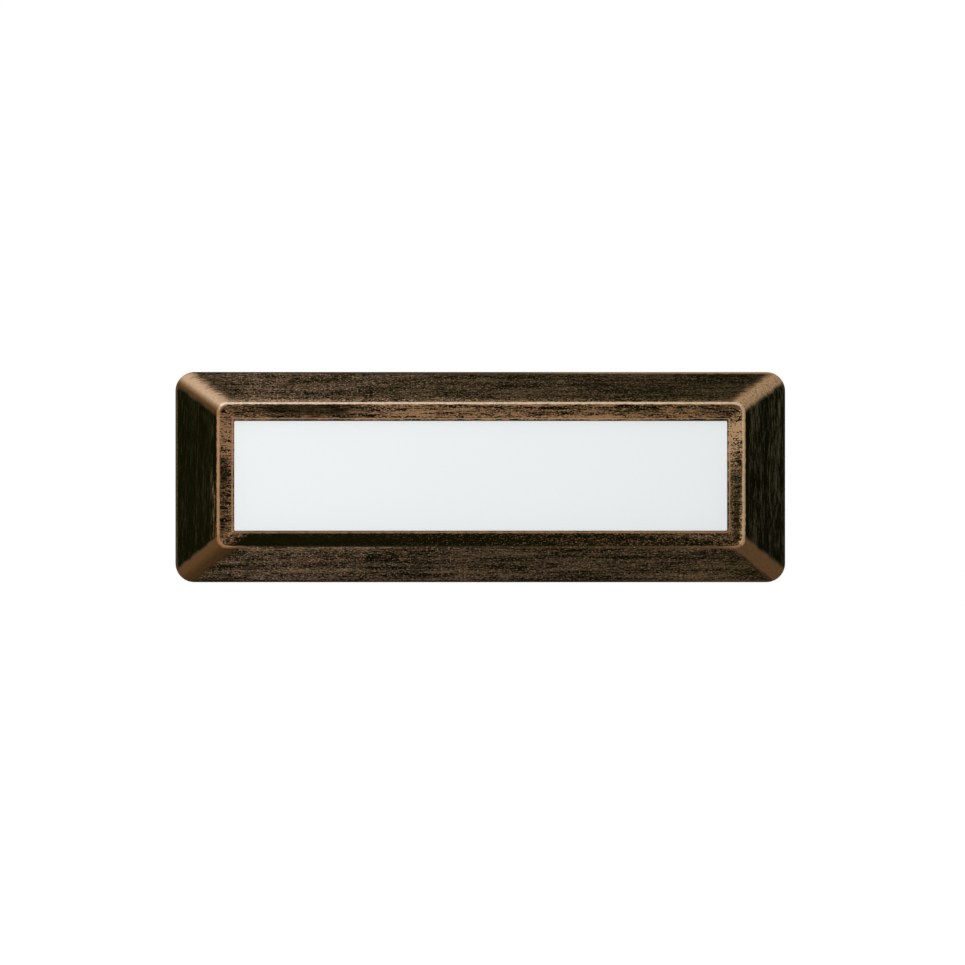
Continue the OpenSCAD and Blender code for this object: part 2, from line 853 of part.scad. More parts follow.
// Coil, capacitors, choke, fuse and the two wire blocks that stand on the driver's board
module driver_parts() {
  z = pcb_z + pcb_t;
  color("#c9a227") stand_up() translate([driver_x, 0, 0]) {
    translate([-1, 0, 0]) {
      block(-coil_l / 2, coil_l / 2, -coil_w / 2, coil_w / 2, z, z + coil_foot_t);
      block(-core_l / 2, core_l / 2, -core_w / 2, core_w / 2, z + coil_foot_t, z + coil_h);
    }
    for (s = [-1, 1]) {
      translate([cap_x, s * (cap_r + 2), 0]) disc(cap_r, z, z + cap_h);
      translate([s * (pcb_x - plug_x / 2), 0, 0]) {
        block(-plug_x / 2, plug_x / 2, -plug_w / 2, plug_w / 2, z, z + plug_h);
      }
    }
    translate([-cap_x - 1, -choke_r, 0]) difference() {
      disc(choke_r, z, z + choke_h);
      disc(choke_bore_r, z + 1, z + choke_h + 1);
    }
    translate([-cap_x - 2, fuse_y, 0]) disc(fuse_r, z, z + fuse_h);
  }
}

module driver_lid() {
  hx = driver_l / 2;
  hy = driver_w / 2;
  inner = driver_wall + 0.2;
  color("#dcdcd8") stand_up() translate([driver_x, 0, 0]) {
    difference() {
      union() {
        prism(hx, hy, 1.5, lid_z, driver_top);
        frame_ring(hx - inner, hy - inner, 0.6, 1, lid_z - 1.2, lid_z + 0.2);
      }
      for (s = [-1, 1]) {
        translate([s * lid_post_x, s * lid_post_y, 0]) {
          disc(1.3, lid_z - 1, driver_top + 1);
          disc(lid_post_r + 0.9, lid_z - 3, lid_z);
        }
      }
    }
  }
}

module driver_screws() {
  color("#9fa2a4") stand_up() translate([driver_x, 0, 0]) {
    for (s = [-1, 1]) {
      translate([s * lid_post_x, s * lid_post_y, driver_top]) {
        screw(lid_head_r, lid_head_h, lid_shank_r, lid_screw_l);
      }
      translate([s * (driver_l + ear_l) / 2, 0, ear_z + ear_t]) {
        screw(wide_head_r, wide_head_h, wide_shank_r, ear_screw_l);
      }
    }
  }
}

module terminal_block() {
  hl = block_l / 2;
  hw = block_w / 2;
  ear_in = block_x - 3.5;
  color("#e6e2da") stand_up() {
    difference() {
      union() {
        block(block_x - hl, block_x + hl, -hw, hw, floor_z, block_top);
        block(ear_in, ear_in + 7, -hw - block_ear, hw + block_ear, block_ear_top - ear_t, block_ear_top);
      }
      for (p = [-1, 0, 1]) {
        block(
          hinge_x - lever_l - 1, hinge_x + hub_r + 0.4,
          p * pole_pitch - lever_w / 2 - 0.2, p * pole_pitch + lever_w / 2 + 0.2,
          hinge_z - hub_r - 0.3, block_top + 1
        );
        translate([0, p * pole_pitch, port_z]) {
          disc_x(port_r, block_x + hl - port_depth, block_x + hl + 1);
          disc_x(main_wire_r + snug, block_x - hl - 1, block_x - hl + 6);
        }
      }
      translate([hinge_x, hw + 1, hinge_z]) rotate([90, 0, 0]) {
        cylinder(r = pin_r + 0.07, h = block_w + 2, $fn = 32);
      }
      for (s = [-1, 1]) {
        translate([block_x, s * (block_w + block_ear) / 2, 0]) disc(1.4, floor_z + 3, floor_z + 7);
      }
    }
  }
}

module terminal_screws() {
  color("#9fa2a4") stand_up() {
    for (s = [-1, 1]) {
      translate([block_x, s * (block_w + block_ear) / 2, block_ear_top]) {
        screw(small_head_r, small_head_h, 1, block_screw_l);
      }
    }
  }
}

// One lever with its hub and hinge pins, shut
module lever(pole) {
  arm = [
    [0, hub_r],
    [-lever_l, hub_r],
    [-lever_l, hub_r - 1.2],
    [1 - lever_l, hub_r - 1.6],
    [0, -0.3]
  ];
  stand_up() translate([hinge_x, pole * pole_pitch, hinge_z]) rotate([90, 0, 0]) {
    linear_extrude(lever_w, center = true) polygon(arm);
    cylinder(r = hub_r, h = lever_w, center = true, $fn = 32);
    cylinder(r = pin_r, h = pole_pitch - 0.1, center = true, $fn = 32);
  }
}

module lever_live() {
  color("#4a4d50") lever(1);
}

module lever_neutral() {
  color("#4a4d50") lever(0);
}

module lever_earth() {
  color("#4a4d50") lever(-1);
}

// Lead from the terminal block's pole to the driver's wire block
module mains_lead(pole, side) {
  start = block_x - block_l / 2 + 5;
  end = driver_x + pcb_x + touch;
  wire([
    [start, pole * pole_pitch, port_z],
    [start - 5, pole * pole_pitch, port_z],
    [start - 10, pole * pole_pitch, port_z + 0.5],
    [driver_x + driver_l / 2 + 9, side * 4.5, lead_z],
    [driver_x + driver_l / 2 + 1, side * 4, lead_z],
    [end + 3, side * 4, lead_z],
    [end, side * 4, lead_z]
  ], main_wire_r, [0, 0, 1]);
}

module live_lead() {
  color("#6b3f24") stand_up() mains_lead(1, 1);
}

module neutral_lead() {
  color("#2c5fa8") stand_up() mains_lead(0, -1);
}

module earth_lead() {
  start = block_x - block_l / 2 + 5;
  color("#6f9a2d") stand_up() wire([
    [start, -pole_pitch, port_z],
    [start - 5, -pole_pitch, port_z],
    [start - 7.5, -pole_pitch - 0.5, port_z + 0.6],
    [earth_x + 2, earth_y + lug_l + 4.5, earth_z + 1],
    [earth_x, earth_y + lug_l + 2.2, earth_z + 1.5],
    [earth_x, earth_y + lug_l + 1.1, earth_z + 1.5],
    [earth_x, earth_y + lug_l + touch, earth_z + 1.5]
  ], main_wire_r, [0, 0, 1]);
}

module led_leads() {
  start = driver_x - pcb_x - touch;
  color("#b03a30") stand_up() for (s = [-1, 1]) {
    wire([
      [start, s * 3, lead_z],
      [start - 4, s * 3, lead_z],
      [driver_x - driver_l / 2 - 2, s * 3, lead_z],
      [driver_x - driver_l / 2 - 11, s * 1.8, lead_z + 2],
      [grommet_x, s * 1.3, lead_z + 9],
      [grommet_x, s * 1.3, -tray_depth - 2],
      [grommet_x, s * 1.3, tray_top + 1],
      [grommet_x + 1.6, s * 1.5, led_wire_z - 0.1],
      [grommet_x + 5, s * 2, led_wire_z],
      [-board_x + 2, s * 2, led_wire_z]
    ], led_wire_r, [0, 1, 0]);
  }
}

module earth_screw() {
  color("#c8a84a") stand_up() translate([earth_x, earth_y, 0]) {
    difference() {
      disc(3.4, earth_z + 0.8, earth_z + 1.3);
      disc(1.6, earth_z, earth_z + 2);
    }
    translate([0, 0, earth_z + 1.3]) screw(2.8, 2, 1.5, 6.2);
  }
}

module earth_lug() {
  color("#d0cfc8") stand_up() translate([earth_x, earth_y, 0]) {
    difference() {
      union() {
        disc(3.4, earth_z, earth_z + 0.8);
        block(-1.6, 1.6, 2, 5, earth_z, earth_z + 0.8);
        translate([0, 0, earth_z + 1.5]) rotate([-90, 0, 0]) disc(1.5, lug_l - 2, lug_l);
      }
      disc(1.6, earth_z - 1, earth_z + 2);
    }
  }
}

// Cable gland group, along x through the step of the housing

module at_gland() {
  stand_up() translate([0, 0, gland_z]) children();
}

module gland_body() {
  hex_start = wall_out_x + oring_t;
  color("#4d5154") at_gland() difference() {
    union() {
      disc_x(gland_thread_r, step_in_x - locknut_t - 2, hex_start + 1);
      hex_x(gland_hex_r, hex_start, hex_start + hex_t);
      disc_x(gland_neck_r, hex_start + hex_t - 1, hex_start + hex_t + gland_neck_l);
    }
    disc_x(gland_bore_r, step_in_x - locknut_t - 3, hex_start + hex_t + gland_neck_l + 1);
  }
}

module gland_oring() {
  color("#1d1d1d") at_gland() difference() {
    disc_x(gland_thread_r + oring_w, wall_out_x, wall_out_x + oring_t);
    disc_x(gland_thread_r + touch, wall_out_x - 1, wall_out_x + oring_t + 1);
  }
}

module gland_locknut() {
  color("#45494c") at_gland() difference() {
    hex_x(gland_hex_r, step_in_x - locknut_t, step_in_x);
    disc_x(gland_thread_r + touch, step_in_x - locknut_t - 1, step_in_x + 1);
  }
}

module gland_seal() {
  neck_end = wall_out_x + oring_t + hex_t + gland_neck_l;
  color("#262626") at_gland() difference() {
    union() {
      disc_x(gland_bore_r - touch, neck_end - 7, neck_end + 1);
      disc_x(gland_neck_r - 0.3, neck_end, neck_end + 2);
    }
    disc_x(cable_r, neck_end - 8, neck_end + 3);
  }
}

module gland_nut() {
  start = wall_out_x + oring_t + hex_t + 0.4;
  neck_end = wall_out_x + oring_t + hex_t + gland_neck_l;
  grip_r = gland_af / 2;
  color("#4d5154") at_gland() difference() {
    union() {
      hex_x(gland_hex_r, start, start + 6);
      translate([start, 0, 0]) rotate([0, 90, 0]) rotate_extrude($fn = 64) polygon([
        [0, 1],
        [grip_r - 0.4, 1],
        [grip_r - 0.4, nut_l * 0.6],
        [grip_r - 1.2, nut_l * 0.82],
        [grip_r - 2.8, nut_l],
        [0, nut_l]
      ]);
    }
    disc_x(gland_neck_r + snug, start - 1, neck_end + 2.1);
    disc_x(cable_r + 1.4, start - 1, start + nut_l + 1);
  }
}

// Wall box group

module wall_box() {
  color("#2f3133") stand_up() {
    difference() {
      union() {
        difference() {
          union() {
            prism(box_x, box_y, box_r, -box_depth, 0);
            for (z = [-0.3, -0.72]) {
              prism(box_x + key_h, box_y + key_h, box_r + key_h, z * box_depth - 3, z * box_depth);
            }
          }
          difference() {
            prism(box_in_x, box_in_y, box_r - box_wall, box_floor, 1);
            for (s = [-1, 1]) {
              block(
                s > 0 ? post_x : -box_in_x - 1, s > 0 ? box_in_x + 1 : -post_x,
                -post_w / 2, post_w / 2, box_floor - 1, 2
              );
            }
          }
        }
        for (s = [-1, 1]) {
          translate([s * entry_x, 0, 0]) disc(entry_r + ring_lip_w + box_wall, box_floor - 1, entry_front);
        }
      }
      for (s = [-1, 1]) {
        translate([s * screw_x, 0, 0]) disc(insert_r + touch, -insert_l - 4, 1);
        translate([s * entry_x, 0, 0]) {
          disc(entry_r, -box_depth - 1, entry_front + 1);
          disc(entry_r + ring_lip_w + easy, -box_depth - 1, entry_back);
        }
        for (t = [-1, 1]) {
          translate([s * fixing_x / 2, t * fixing_y / 2, 0]) disc(fixing_r, -box_depth - 1, box_floor + 1);
        }
      }
    }
  }
}

module threaded_inserts() {
  color("#c9a44c") stand_up() {
    for (s = [-1, 1]) {
      translate([s * screw_x, 0, 0]) difference() {
        disc(insert_r, -insert_l, 0);
        disc(main_shank_r + snug, -insert_l - 1, 1);
      }
    }
  }
}

// Rubber ring that snaps into a cable entry, with a lip on each face, the rear one flush in its recess
module entry_ring() {
  translate([entry_x, 0, 0]) union() {
    disc(entry_r - touch, entry_back - 1, entry_front + 1);
    disc(entry_r + ring_lip_w, entry_back - touch - ring_lip_t, entry_back - touch);
    disc(entry_r + ring_lip_w, entry_front + touch, entry_front + touch + ring_lip_t);
  }
}

module cable_grommet() {
  color("#1e1e1e") stand_up() difference() {
    entry_ring();
    translate([entry_x, 0, 0]) disc(grommet_r, -box_depth - 3, box_floor + 3);
  }
}

module blanking_plug() {
  color("#1e1e1e") stand_up() mirror([1, 0, 0]) entry_ring();
}

bezel_frame();
diffuser();
diffuser_gasket();
diffuser_clips();
clip_screws();
snap_springs();
spring_screws();
lamp_housing();
wall_seal();
housing_seal();
housing_screws();
screw_seals();
gear_tray();
tray_screws();
tray_grommet();
led_board();
led_chips();
led_connector();
board_screws();
driver_base();
driver_board();
driver_parts();
driver_lid();
driver_screws();
terminal_block();
terminal_screws();
lever_live();
lever_neutral();
lever_earth();
live_lead();
neutral_lead();
earth_lead();
led_leads();
earth_screw();
earth_lug();
gland_body();
gland_oring();
gland_locknut();
gland_seal();
gland_nut();
wall_box();
threaded_inserts();
cable_grommet();
blanking_plug();
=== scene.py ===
# %% [markdown]
# # Dressing an outdoor wall light
# The real light is a brick light: a box in the wall, a lamp housing screwed into it, and a cast front frame
# with an opal diffuser that clips over both. The frame is painted black, and antique copper wax is brushed
# over it almost dry, so the copper stays on the edges and leaves fine streaks on the faces. The construction
# is loaded as a fixed frame, and this script gives it its looks.

# %% Load the construction
import json
import math

import bmesh
import bpy
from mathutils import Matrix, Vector, noise


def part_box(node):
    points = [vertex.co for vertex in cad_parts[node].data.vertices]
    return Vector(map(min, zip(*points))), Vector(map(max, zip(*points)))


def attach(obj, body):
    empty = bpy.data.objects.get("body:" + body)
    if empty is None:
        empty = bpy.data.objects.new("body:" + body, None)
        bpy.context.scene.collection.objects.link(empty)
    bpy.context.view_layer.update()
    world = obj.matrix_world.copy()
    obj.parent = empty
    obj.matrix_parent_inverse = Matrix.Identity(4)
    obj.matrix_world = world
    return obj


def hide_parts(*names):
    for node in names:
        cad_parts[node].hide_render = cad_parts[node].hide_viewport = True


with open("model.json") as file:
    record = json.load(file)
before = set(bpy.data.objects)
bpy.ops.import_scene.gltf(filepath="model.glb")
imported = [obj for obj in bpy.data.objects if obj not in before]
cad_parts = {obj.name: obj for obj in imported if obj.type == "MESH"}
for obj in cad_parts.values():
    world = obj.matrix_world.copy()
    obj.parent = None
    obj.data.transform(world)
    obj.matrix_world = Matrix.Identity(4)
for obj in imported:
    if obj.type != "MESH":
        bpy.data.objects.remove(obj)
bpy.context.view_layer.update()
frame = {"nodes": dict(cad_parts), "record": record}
nodes = frame["nodes"]
MM = 0.001

# %% [markdown]
# ## Helpers for shader nodes
# A material is a network of nodes. These helpers add a node, fill its inputs with a number, a colour or the
# output of another node, and start a material with a Principled shader.

# %% Node helpers


def fill(tree, socket, value):
    """Links value to the socket if it is an output of another node, or writes it there."""
    if isinstance(value, bpy.types.NodeSocket):
        tree.links.new(value, socket)
    else:
        socket.default_value = value


def add(tree, kind, inputs=None, **settings):
    """Adds a shader node, with its settings and its inputs by name or number."""
    node = tree.nodes.new("ShaderNode" + kind)
    for name, value in settings.items():
        setattr(node, name, value)
    for name, value in (inputs or {}).items():
        fill(tree, node.inputs[name], value)
    return node


def wire(tree, node, **inputs):
    """Fills several inputs of a node by name; an underscore stands for a space."""
    for name, value in inputs.items():
        fill(tree, node.inputs[name.replace("_", " ")], value)


def sums(tree, operation, a, b=0.0):
    """One arithmetic step on two numbers or sockets."""
    return add(tree, "Math", {0: a, 1: b}, operation=operation).outputs[0]


def times(tree, value, *others):
    """The product of numbers or sockets."""
    for other in others:
        value = sums(tree, "MULTIPLY", value, other)
    return value


def most(tree, value, *others):
    """The largest of numbers or sockets."""
    for other in others:
        value = sums(tree, "MAXIMUM", value, other)
    return value


def plus(tree, a, factor, b):
    """a times factor, plus b."""
    return add(tree, "Math", {0: a, 1: factor, 2: b}, operation="MULTIPLY_ADD").outputs[0]


def remap(tree, value, low, high, to_low=0.0, to_high=1.0, kind="LINEAR"):
    """Stretches value from the range low to high onto the range to_low to to_high."""
    inputs = {"Value": value, "From Min": low, "From Max": high, "To Min": to_low, "To Max": to_high}
    return add(tree, "MapRange", inputs, interpolation_type=kind).outputs["Result"]


def scaled(tree, value, low, high):
    """Stretches a mask from 0 to 1 onto low to high."""
    return remap(tree, value, 0.0, 1.0, low, high)


def mix(tree, factor, a, b):
    """Blends two colours; the factor is held between 0 and 1."""
    node = add(tree, "Mix", data_type="RGBA")
    for place, value in ((0, factor), (6, a), (7, b)):
        fill(tree, node.inputs[place], value)
    return node.outputs[2]


finishes = {}


def new_material(name):
    """Starts a finish: its nodes, its Principled shader and the output of its object coordinates."""
    finishes[name] = bpy.data.materials.new(name)
    finishes[name].use_nodes = True
    tree = finishes[name].node_tree
    tree.nodes.clear()
    shader = add(tree, "BsdfPrincipled")
    add(tree, "OutputMaterial", {"Surface": shader.outputs["BSDF"]})
    return tree, shader, add(tree, "TexCoord").outputs["Object"]


print("helpers ready")

# %% [markdown]
# ## Effects as node groups
# Brush strokes, grain, blotches and rubbed edges show up in many finishes. Each is a node group with named
# inputs and outputs, made once, so that a finish only sets its sizes. All sizes are in metres.

# %% Group maker


def new_group(name, inputs, output):
    """A shader node group with a vector input, some number inputs and one number as output."""
    group = bpy.data.node_groups.new(name, "ShaderNodeTree")
    new_socket = group.interface.new_socket
    new_socket("Vector", in_out="INPUT", socket_type="NodeSocketVector")
    for label, value in inputs.items():
        new_socket(label, in_out="INPUT", socket_type="NodeSocketFloat").default_value = value
    new_socket(output, in_out="OUTPUT", socket_type="NodeSocketFloat")
    given = group.nodes.new("NodeGroupInput").outputs
    return group, given, group.nodes.new("NodeGroupOutput").inputs[output]


def use(tree, group, vector, **inputs):
    """Places a group in a material and returns its output."""
    node = add(tree, "Group", node_tree=group)
    wire(tree, node, Vector=vector, **inputs)
    return node.outputs[0]


def stretched(tree, given):
    """A place counted in lengths along X and in widths along Y and Z, moved by the seed."""
    flat = add(tree, "SeparateXYZ", {0: given["Vector"]}).outputs
    along = sums(tree, "DIVIDE", flat["X"], given["Length"])
    across = sums(tree, "DIVIDE", flat["Y"], given["Width"])
    deep = sums(tree, "ADD", sums(tree, "DIVIDE", flat["Z"], given["Width"]), given["Seed"])
    return add(tree, "CombineXYZ", {"X": along, "Y": across, "Z": deep}).outputs[0]


def shrunk(tree, given):
    """A place counted in units of the input Size."""
    scale = sums(tree, "DIVIDE", 1.0, given["Size"])
    return add(tree, "VectorMath", {0: given["Vector"], "Scale": scale}, operation="SCALE").outputs[0]


def clouds_at(tree, place, detail=3.0, roughness=0.6):
    """Noise with waves about one unit long."""
    settings = {"Vector": place, "Scale": 1.0, "Detail": detail, "Roughness": roughness}
    return add(tree, "TexNoise", settings).outputs["Fac"]


def widened(tree, value, spread):
    """Stretches noise, which stays within the spread round 0.5, onto 0 to 1."""
    return remap(tree, value, sums(tree, "SUBTRACT", 0.5, spread), sums(tree, "ADD", 0.5, spread))


print("group maker ready")

# %% [markdown]
# ### Brush strokes
# A stroke is long one way and thin the other two. Noise does that when one coordinate is divided by the
# stroke's length and the others by its width. Short and fat strokes give speckle, long and thin ones give
# streaks.

# %% Brush strokes
sizes = {"Length": 0.02, "Width": 0.001, "Seed": 0.0, "Spread": 0.2}
strokes, given, result = new_group("brush strokes", sizes, "Strokes")
raw = clouds_at(strokes, stretched(strokes, given))
fill(strokes, result, widened(strokes, raw, given["Spread"]))
print("group", strokes.name)

# %% [markdown]
# ### Wax grains
# A dry brush touches only the high spots of the paint, and leaves a grain of wax on each. Voronoi cells are
# such spots: each cell gets its own strength at random, and fades towards its border, so a few grains shine
# and most stay dark.

# %% Wax grains
sizes = {"Length": 0.001, "Width": 0.001, "Seed": 0.0}
grains, given, result = new_group("wax grains", sizes, "Grains")
cells = add(grains, "TexVoronoi", {"Vector": stretched(grains, given), "Scale": 1.0}).outputs
strength = add(grains, "SeparateXYZ", {0: cells["Color"]}).outputs["X"]
middle = remap(grains, cells["Distance"], 0.75, 0.25)
fill(grains, result, times(grains, sums(grains, "POWER", strength, 2.0), middle))
print("group", grains.name)

# %% [markdown]
# ### Blotches and grain
# Blotches are soft clouds: uneven paint, handling marks, dust. Grain is the same idea at the size of a
# spark-eroded mould or of powder paint, and feeds a bump.

# %% Blotches and grain


def cloud_group(name, output, detail):
    """Noise of a given size, seed and spread."""
    group, inputs, outcome = new_group(name, {"Size": 0.01, "Seed": 0.0, "Spread": 0.2}, output)
    shift = add(group, "CombineXYZ", {"Z": inputs["Seed"]}).outputs[0]
    spot = add(group, "VectorMath", {0: shrunk(group, inputs), 1: shift}, operation="ADD").outputs[0]
    fill(group, outcome, widened(group, clouds_at(group, spot, detail, 0.55), inputs["Spread"]))
    return group


blotches = cloud_group("blotches", "Mask", 4.0)
grain = cloud_group("fine grain", "Height", 1.5)
print("groups", blotches.name, grain.name)

# %% [markdown]
# ### Rubbed edges
# Wax or wear on an edge is a line of a certain width with a ragged border. The group takes the distance
# from the edge, moves it back and forth with noise, and turns it into a mask that fades over a share of the
# width.

# %% Rubbed edges
sizes = {"Distance": 0.0, "Width": 0.001, "Soft": 0.6, "Ragged": 0.0005, "Size": 0.002}
rubbed, given, result = new_group("rubbed edge", sizes, "Rubbed")
wander = remap(rubbed, clouds_at(rubbed, shrunk(rubbed, given)), 0.25, 0.75, -1.0, 1.0)
moved = plus(rubbed, wander, given["Ragged"], given["Distance"])
inner_edge = times(rubbed, given["Width"], sums(rubbed, "SUBTRACT", 1.0, given["Soft"]))
fill(rubbed, result, remap(rubbed, moved, given["Width"], inner_edge, kind="SMOOTHSTEP"))
print("group", rubbed.name)

# %% [markdown]
# ## The cast frame
# The frame is a die casting: a short rim, four outer slopes that meet in hips, a rounded ridge, four inner
# slopes and a thin lip round the window. Behind, it is hollow, with a collar for the diffuser and ten screw
# bosses. A box with bevels could give the outline, but not the exact rounding of each edge. So the section
# is written as rings, each a rounded rectangle with a height, and a skin is drawn through them. They repeat
# the construction's sizes.

# %% Sizes of the frame
frame_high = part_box("bezel_frame")[1]
HALF_L = frame_high.x
HALF_H = frame_high.z
CORNER_R = 9 * MM
RIM = 3 * MM
RIDGE_IN = Vector((22.5 * MM, 16.5 * MM))
RIDGE_R = 4.5 * MM
RIDGE_OUT = 22 * MM
INNER_RUN = Vector((6.5 * MM, 7.5 * MM))
WINDOW_R = 0.6 * MM
LIP_OUT = 16 * MM
LIP_LAND = 0.8 * MM
SHELF_OUT = 14.5 * MM
SEAT_MARGIN = 6 * MM
SEAT_R = 2 * MM
SEAT_BACK = 11.2 * MM
COLLAR = 1.8 * MM
CORE_OUT = 16.5 * MM
WALL = 2.5 * MM
FRAME = Vector((HALF_L, HALF_H))
WINDOW = FRAME - RIDGE_IN - INNER_RUN
print("half frame", round(HALF_L / MM, 2), "x", round(HALF_H / MM, 2), "mm")

# %% [markdown]
# The outline of a ring starts at the left end of the top side and runs clockwise. All rings have as many
# points, so those with one number form a line up the slope, and the middle ones of the corners form the
# hips. Each step also belongs to a side, because a painter brushes each side in one go.

# %% Outline of a ring
SIDES = ("top", "right", "bottom", "left")
OUTWARDS = ((0, 1), (1, 0), (0, -1), (-1, 0))
CORNER_SIGNS = ((1, 1), (1, -1), (-1, -1), (-1, 1))
STEPS = (96, 30, 96, 30)
CORNER_STEPS = 12


def ring_outline(half_x, half_z, radius):
    """Points of a rounded rectangle, clockwise from the left end of the top side."""
    centres = [Vector((x * (half_x - radius), z * (half_z - radius))) for x, z in CORNER_SIGNS]
    points = []
    for k, centre in enumerate(centres):
        out = radius * Vector(OUTWARDS[k])
        points += [(centres[k - 1] + out).lerp(centre + out, i / STEPS[k]) for i in range(STEPS[k])]
        for i in range(CORNER_STEPS):
            angle = math.pi / 2 * (1 - k - i / CORNER_STEPS)
            points.append(centre + radius * Vector((math.cos(angle), math.sin(angle))))
    return points


def side_of_steps():
    """For each step of the outline, the number of the side that it belongs to."""
    found = []
    for k, steps in enumerate(STEPS):
        found += [k] * (steps + CORNER_STEPS // 2) + [(k + 1) % len(STEPS)] * (CORNER_STEPS // 2)
    return found


STEP_SIDE = side_of_steps()
COUNT = len(STEP_SIDE)
print("points in a ring", COUNT)

# %% [markdown]
# ### The section
# Each corner of the section has a rounding, drawn as a short curve. Long faces get rows in between, close
# to the roundings, which keep the shading of the flat faces clean and carry the masks for the wax.

# %% Section of the frame
RISE = RIDGE_OUT - RIM


def ring(half, radius, out):
    """A ring as four numbers: half length, half height, corner radius, distance in front of the wall."""
    return Vector((half.x, half.y, radius, out))


def inset(half, distance):
    """A half size made smaller on all sides, or larger where the distance is negative."""
    return half - Vector((distance, distance))


def core(out):
    """Half size of the hollow behind the outer slopes, at a height."""
    thick = Vector([WALL / math.sin(math.atan2(RISE, run)) for run in RIDGE_IN])
    return FRAME - (out - RIM) / RISE * RIDGE_IN - thick


RIDGE = FRAME - RIDGE_IN
SEAT = inset(WINDOW, -SEAT_MARGIN)
BORDER = inset(SEAT, -COLLAR)
BEHIND = inset(FRAME, WALL)
BEND_STEPS = 5
RIDGE_STEPS = 8
SLOPE_ROWS = (0.02, 0.08, 0.2, 0.35, 0.5, 0.65, 0.8, 0.92, 0.98)
CORNERS = [
    ("rim foot", ring(FRAME, CORNER_R, 0), 0, (0.5,)),
    ("rim", ring(FRAME, CORNER_R, RIM), 0.9 * MM, SLOPE_ROWS),
    ("ridge", ring(RIDGE, RIDGE_R, RIDGE_OUT), 1.5 * MM, SLOPE_ROWS),
    ("lip", ring(inset(WINDOW, -LIP_LAND), WINDOW_R + LIP_LAND, LIP_OUT), 0.25 * MM, (0.5,)),
    ("lip edge", ring(WINDOW, WINDOW_R, LIP_OUT - 0.1 * MM), 0.25 * MM, (0.5,)),
    ("shelf", ring(WINDOW, WINDOW_R, SHELF_OUT), 0, (0.5,)),
    ("seat", ring(SEAT, SEAT_R, SHELF_OUT), 0, (0.5,)),
    ("collar", ring(SEAT, SEAT_R, SEAT_BACK), 0, ()),
    ("collar back", ring(BORDER, SEAT_R + COLLAR, SEAT_BACK), 0, (0.5,)),
    ("core", ring(BORDER, SEAT_R + COLLAR, CORE_OUT), 0, ()),
    ("core top", ring(core(CORE_OUT), SEAT_R + COLLAR + MM, CORE_OUT), 0, (0.25, 0.5, 0.75)),
    ("skirt", ring(BEHIND, CORNER_R - WALL, RIM - MM), 0, ()),
    ("skirt foot", ring(BEHIND, CORNER_R - WALL, 0), 0, ()),
]


def rounding(before, corner, after, distance, steps):
    """A curve round the corner that starts and ends at a distance from it."""
    if distance == 0:
        return [corner]
    start = corner + (before - corner) * distance / (before - corner).length
    end = corner + (after - corner) * distance / (after - corner).length
    curve = []
    for i in range(steps + 1):
        t = i / steps
        curve.append((1 - t) ** 2 * start + 2 * t * (1 - t) * corner + t * t * end)
    return curve


def section_rows():
    """All rings of the section, each with the name of the corner that it follows."""
    rows = []
    bends = []
    for i, (name, corner, distance, _) in enumerate(CORNERS):
        before, after = CORNERS[i - 1][1], CORNERS[(i + 1) % len(CORNERS)][1]
        steps = RIDGE_STEPS if name == "ridge" else BEND_STEPS
        bends.append(rounding(before, corner, after, distance, steps))
    for i, (name, _, _, between) in enumerate(CORNERS):
        rows += [(name, row) for row in bends[i]]
        start, end = bends[i][-1], bends[(i + 1) % len(CORNERS)][0]
        rows += [(name, start.lerp(end, t)) for t in between]
    return rows


rows = section_rows()
print("rows in the section", len(rows))

# %% [markdown]
# ### How much copper stays where
# The wax is put on by hand. Down the long sides the brush starts loaded at one end and runs dry towards the
# other, so each face has its own amounts, given at a few places from left to right or from bottom to top.
# COPPER is about the share that copper covers. STREAKY_TONE gives 0 for speckle to 1 for long streaks, then
# 0 for red to 1 for light copper. SPARSE takes wax off between the strongest specks. The lines along the
# edges, the rubbed strips beside them and the hips have their own strength.

# %% Amounts of copper on the faces
COPPER = {
    "top outer": ((0, 0.05), (0.04, 0.08), (0.1, 0.16), (0.2, 0.145), (0.5, 0.09), (0.8, 0.062),
                  (1, 0.045)),
    "top inner": ((0, 0.42), (0.04, 0.3), (0.1, 0.067), (0.22, 0.067), (0.33, 0.5), (0.8, 0.32), (1, 0.22)),
    "bottom outer": ((0, 0.12), (0.05, 0.18), (0.2, 0.175), (0.5, 0.12), (0.9, 0.122), (1, 0.07)),
    "bottom inner": ((0, 0.2), (0.02, 0.16), (0.035, 0.004), (0.3, 0.02), (0.5, 0.07), (0.8, 0.09),
                     (1, 0.15)),
    "left outer": ((0, 0.017), (1, 0.014)),
    "left inner": ((0, 0.28), (0.35, 0.24), (0.5, 0.073), (0.6, 0.12), (0.75, 1.3), (0.86, 1.6),
                   (0.94, 0.7), (1, 0.35)),
    "right outer": ((0, 0.045), (0.5, 0.055), (1, 0.06)),
    "right inner": ((0, 0.06), (0.3, 0.07), (0.55, 0.13), (0.7, 0.55), (0.77, 1.0), (0.89, 1.0),
                    (0.95, 0.35), (1, 0.2)),
}
STREAKY_TONE = {
    "top outer": (0.15, 0.8), "bottom outer": (0.2, 0.8), "left outer": (1.0, 0.0),
    "right outer": (1.0, 0.3), "top inner": (0.4, 0.45), "bottom inner": (0.0, 0.5),
    "left inner": (0.3, 0.35), "right inner": (0.15, 0.75),
}
SPARSE = {
    "bottom inner": ((0, 0), (0.02, 0), (0.035, 1.1), (0.6, 1.1), (0.85, 0.5), (1, 0)),
    "left outer": 0.9,
    "right outer": 0.5,
}
print("faces with their own amounts", len(COPPER))

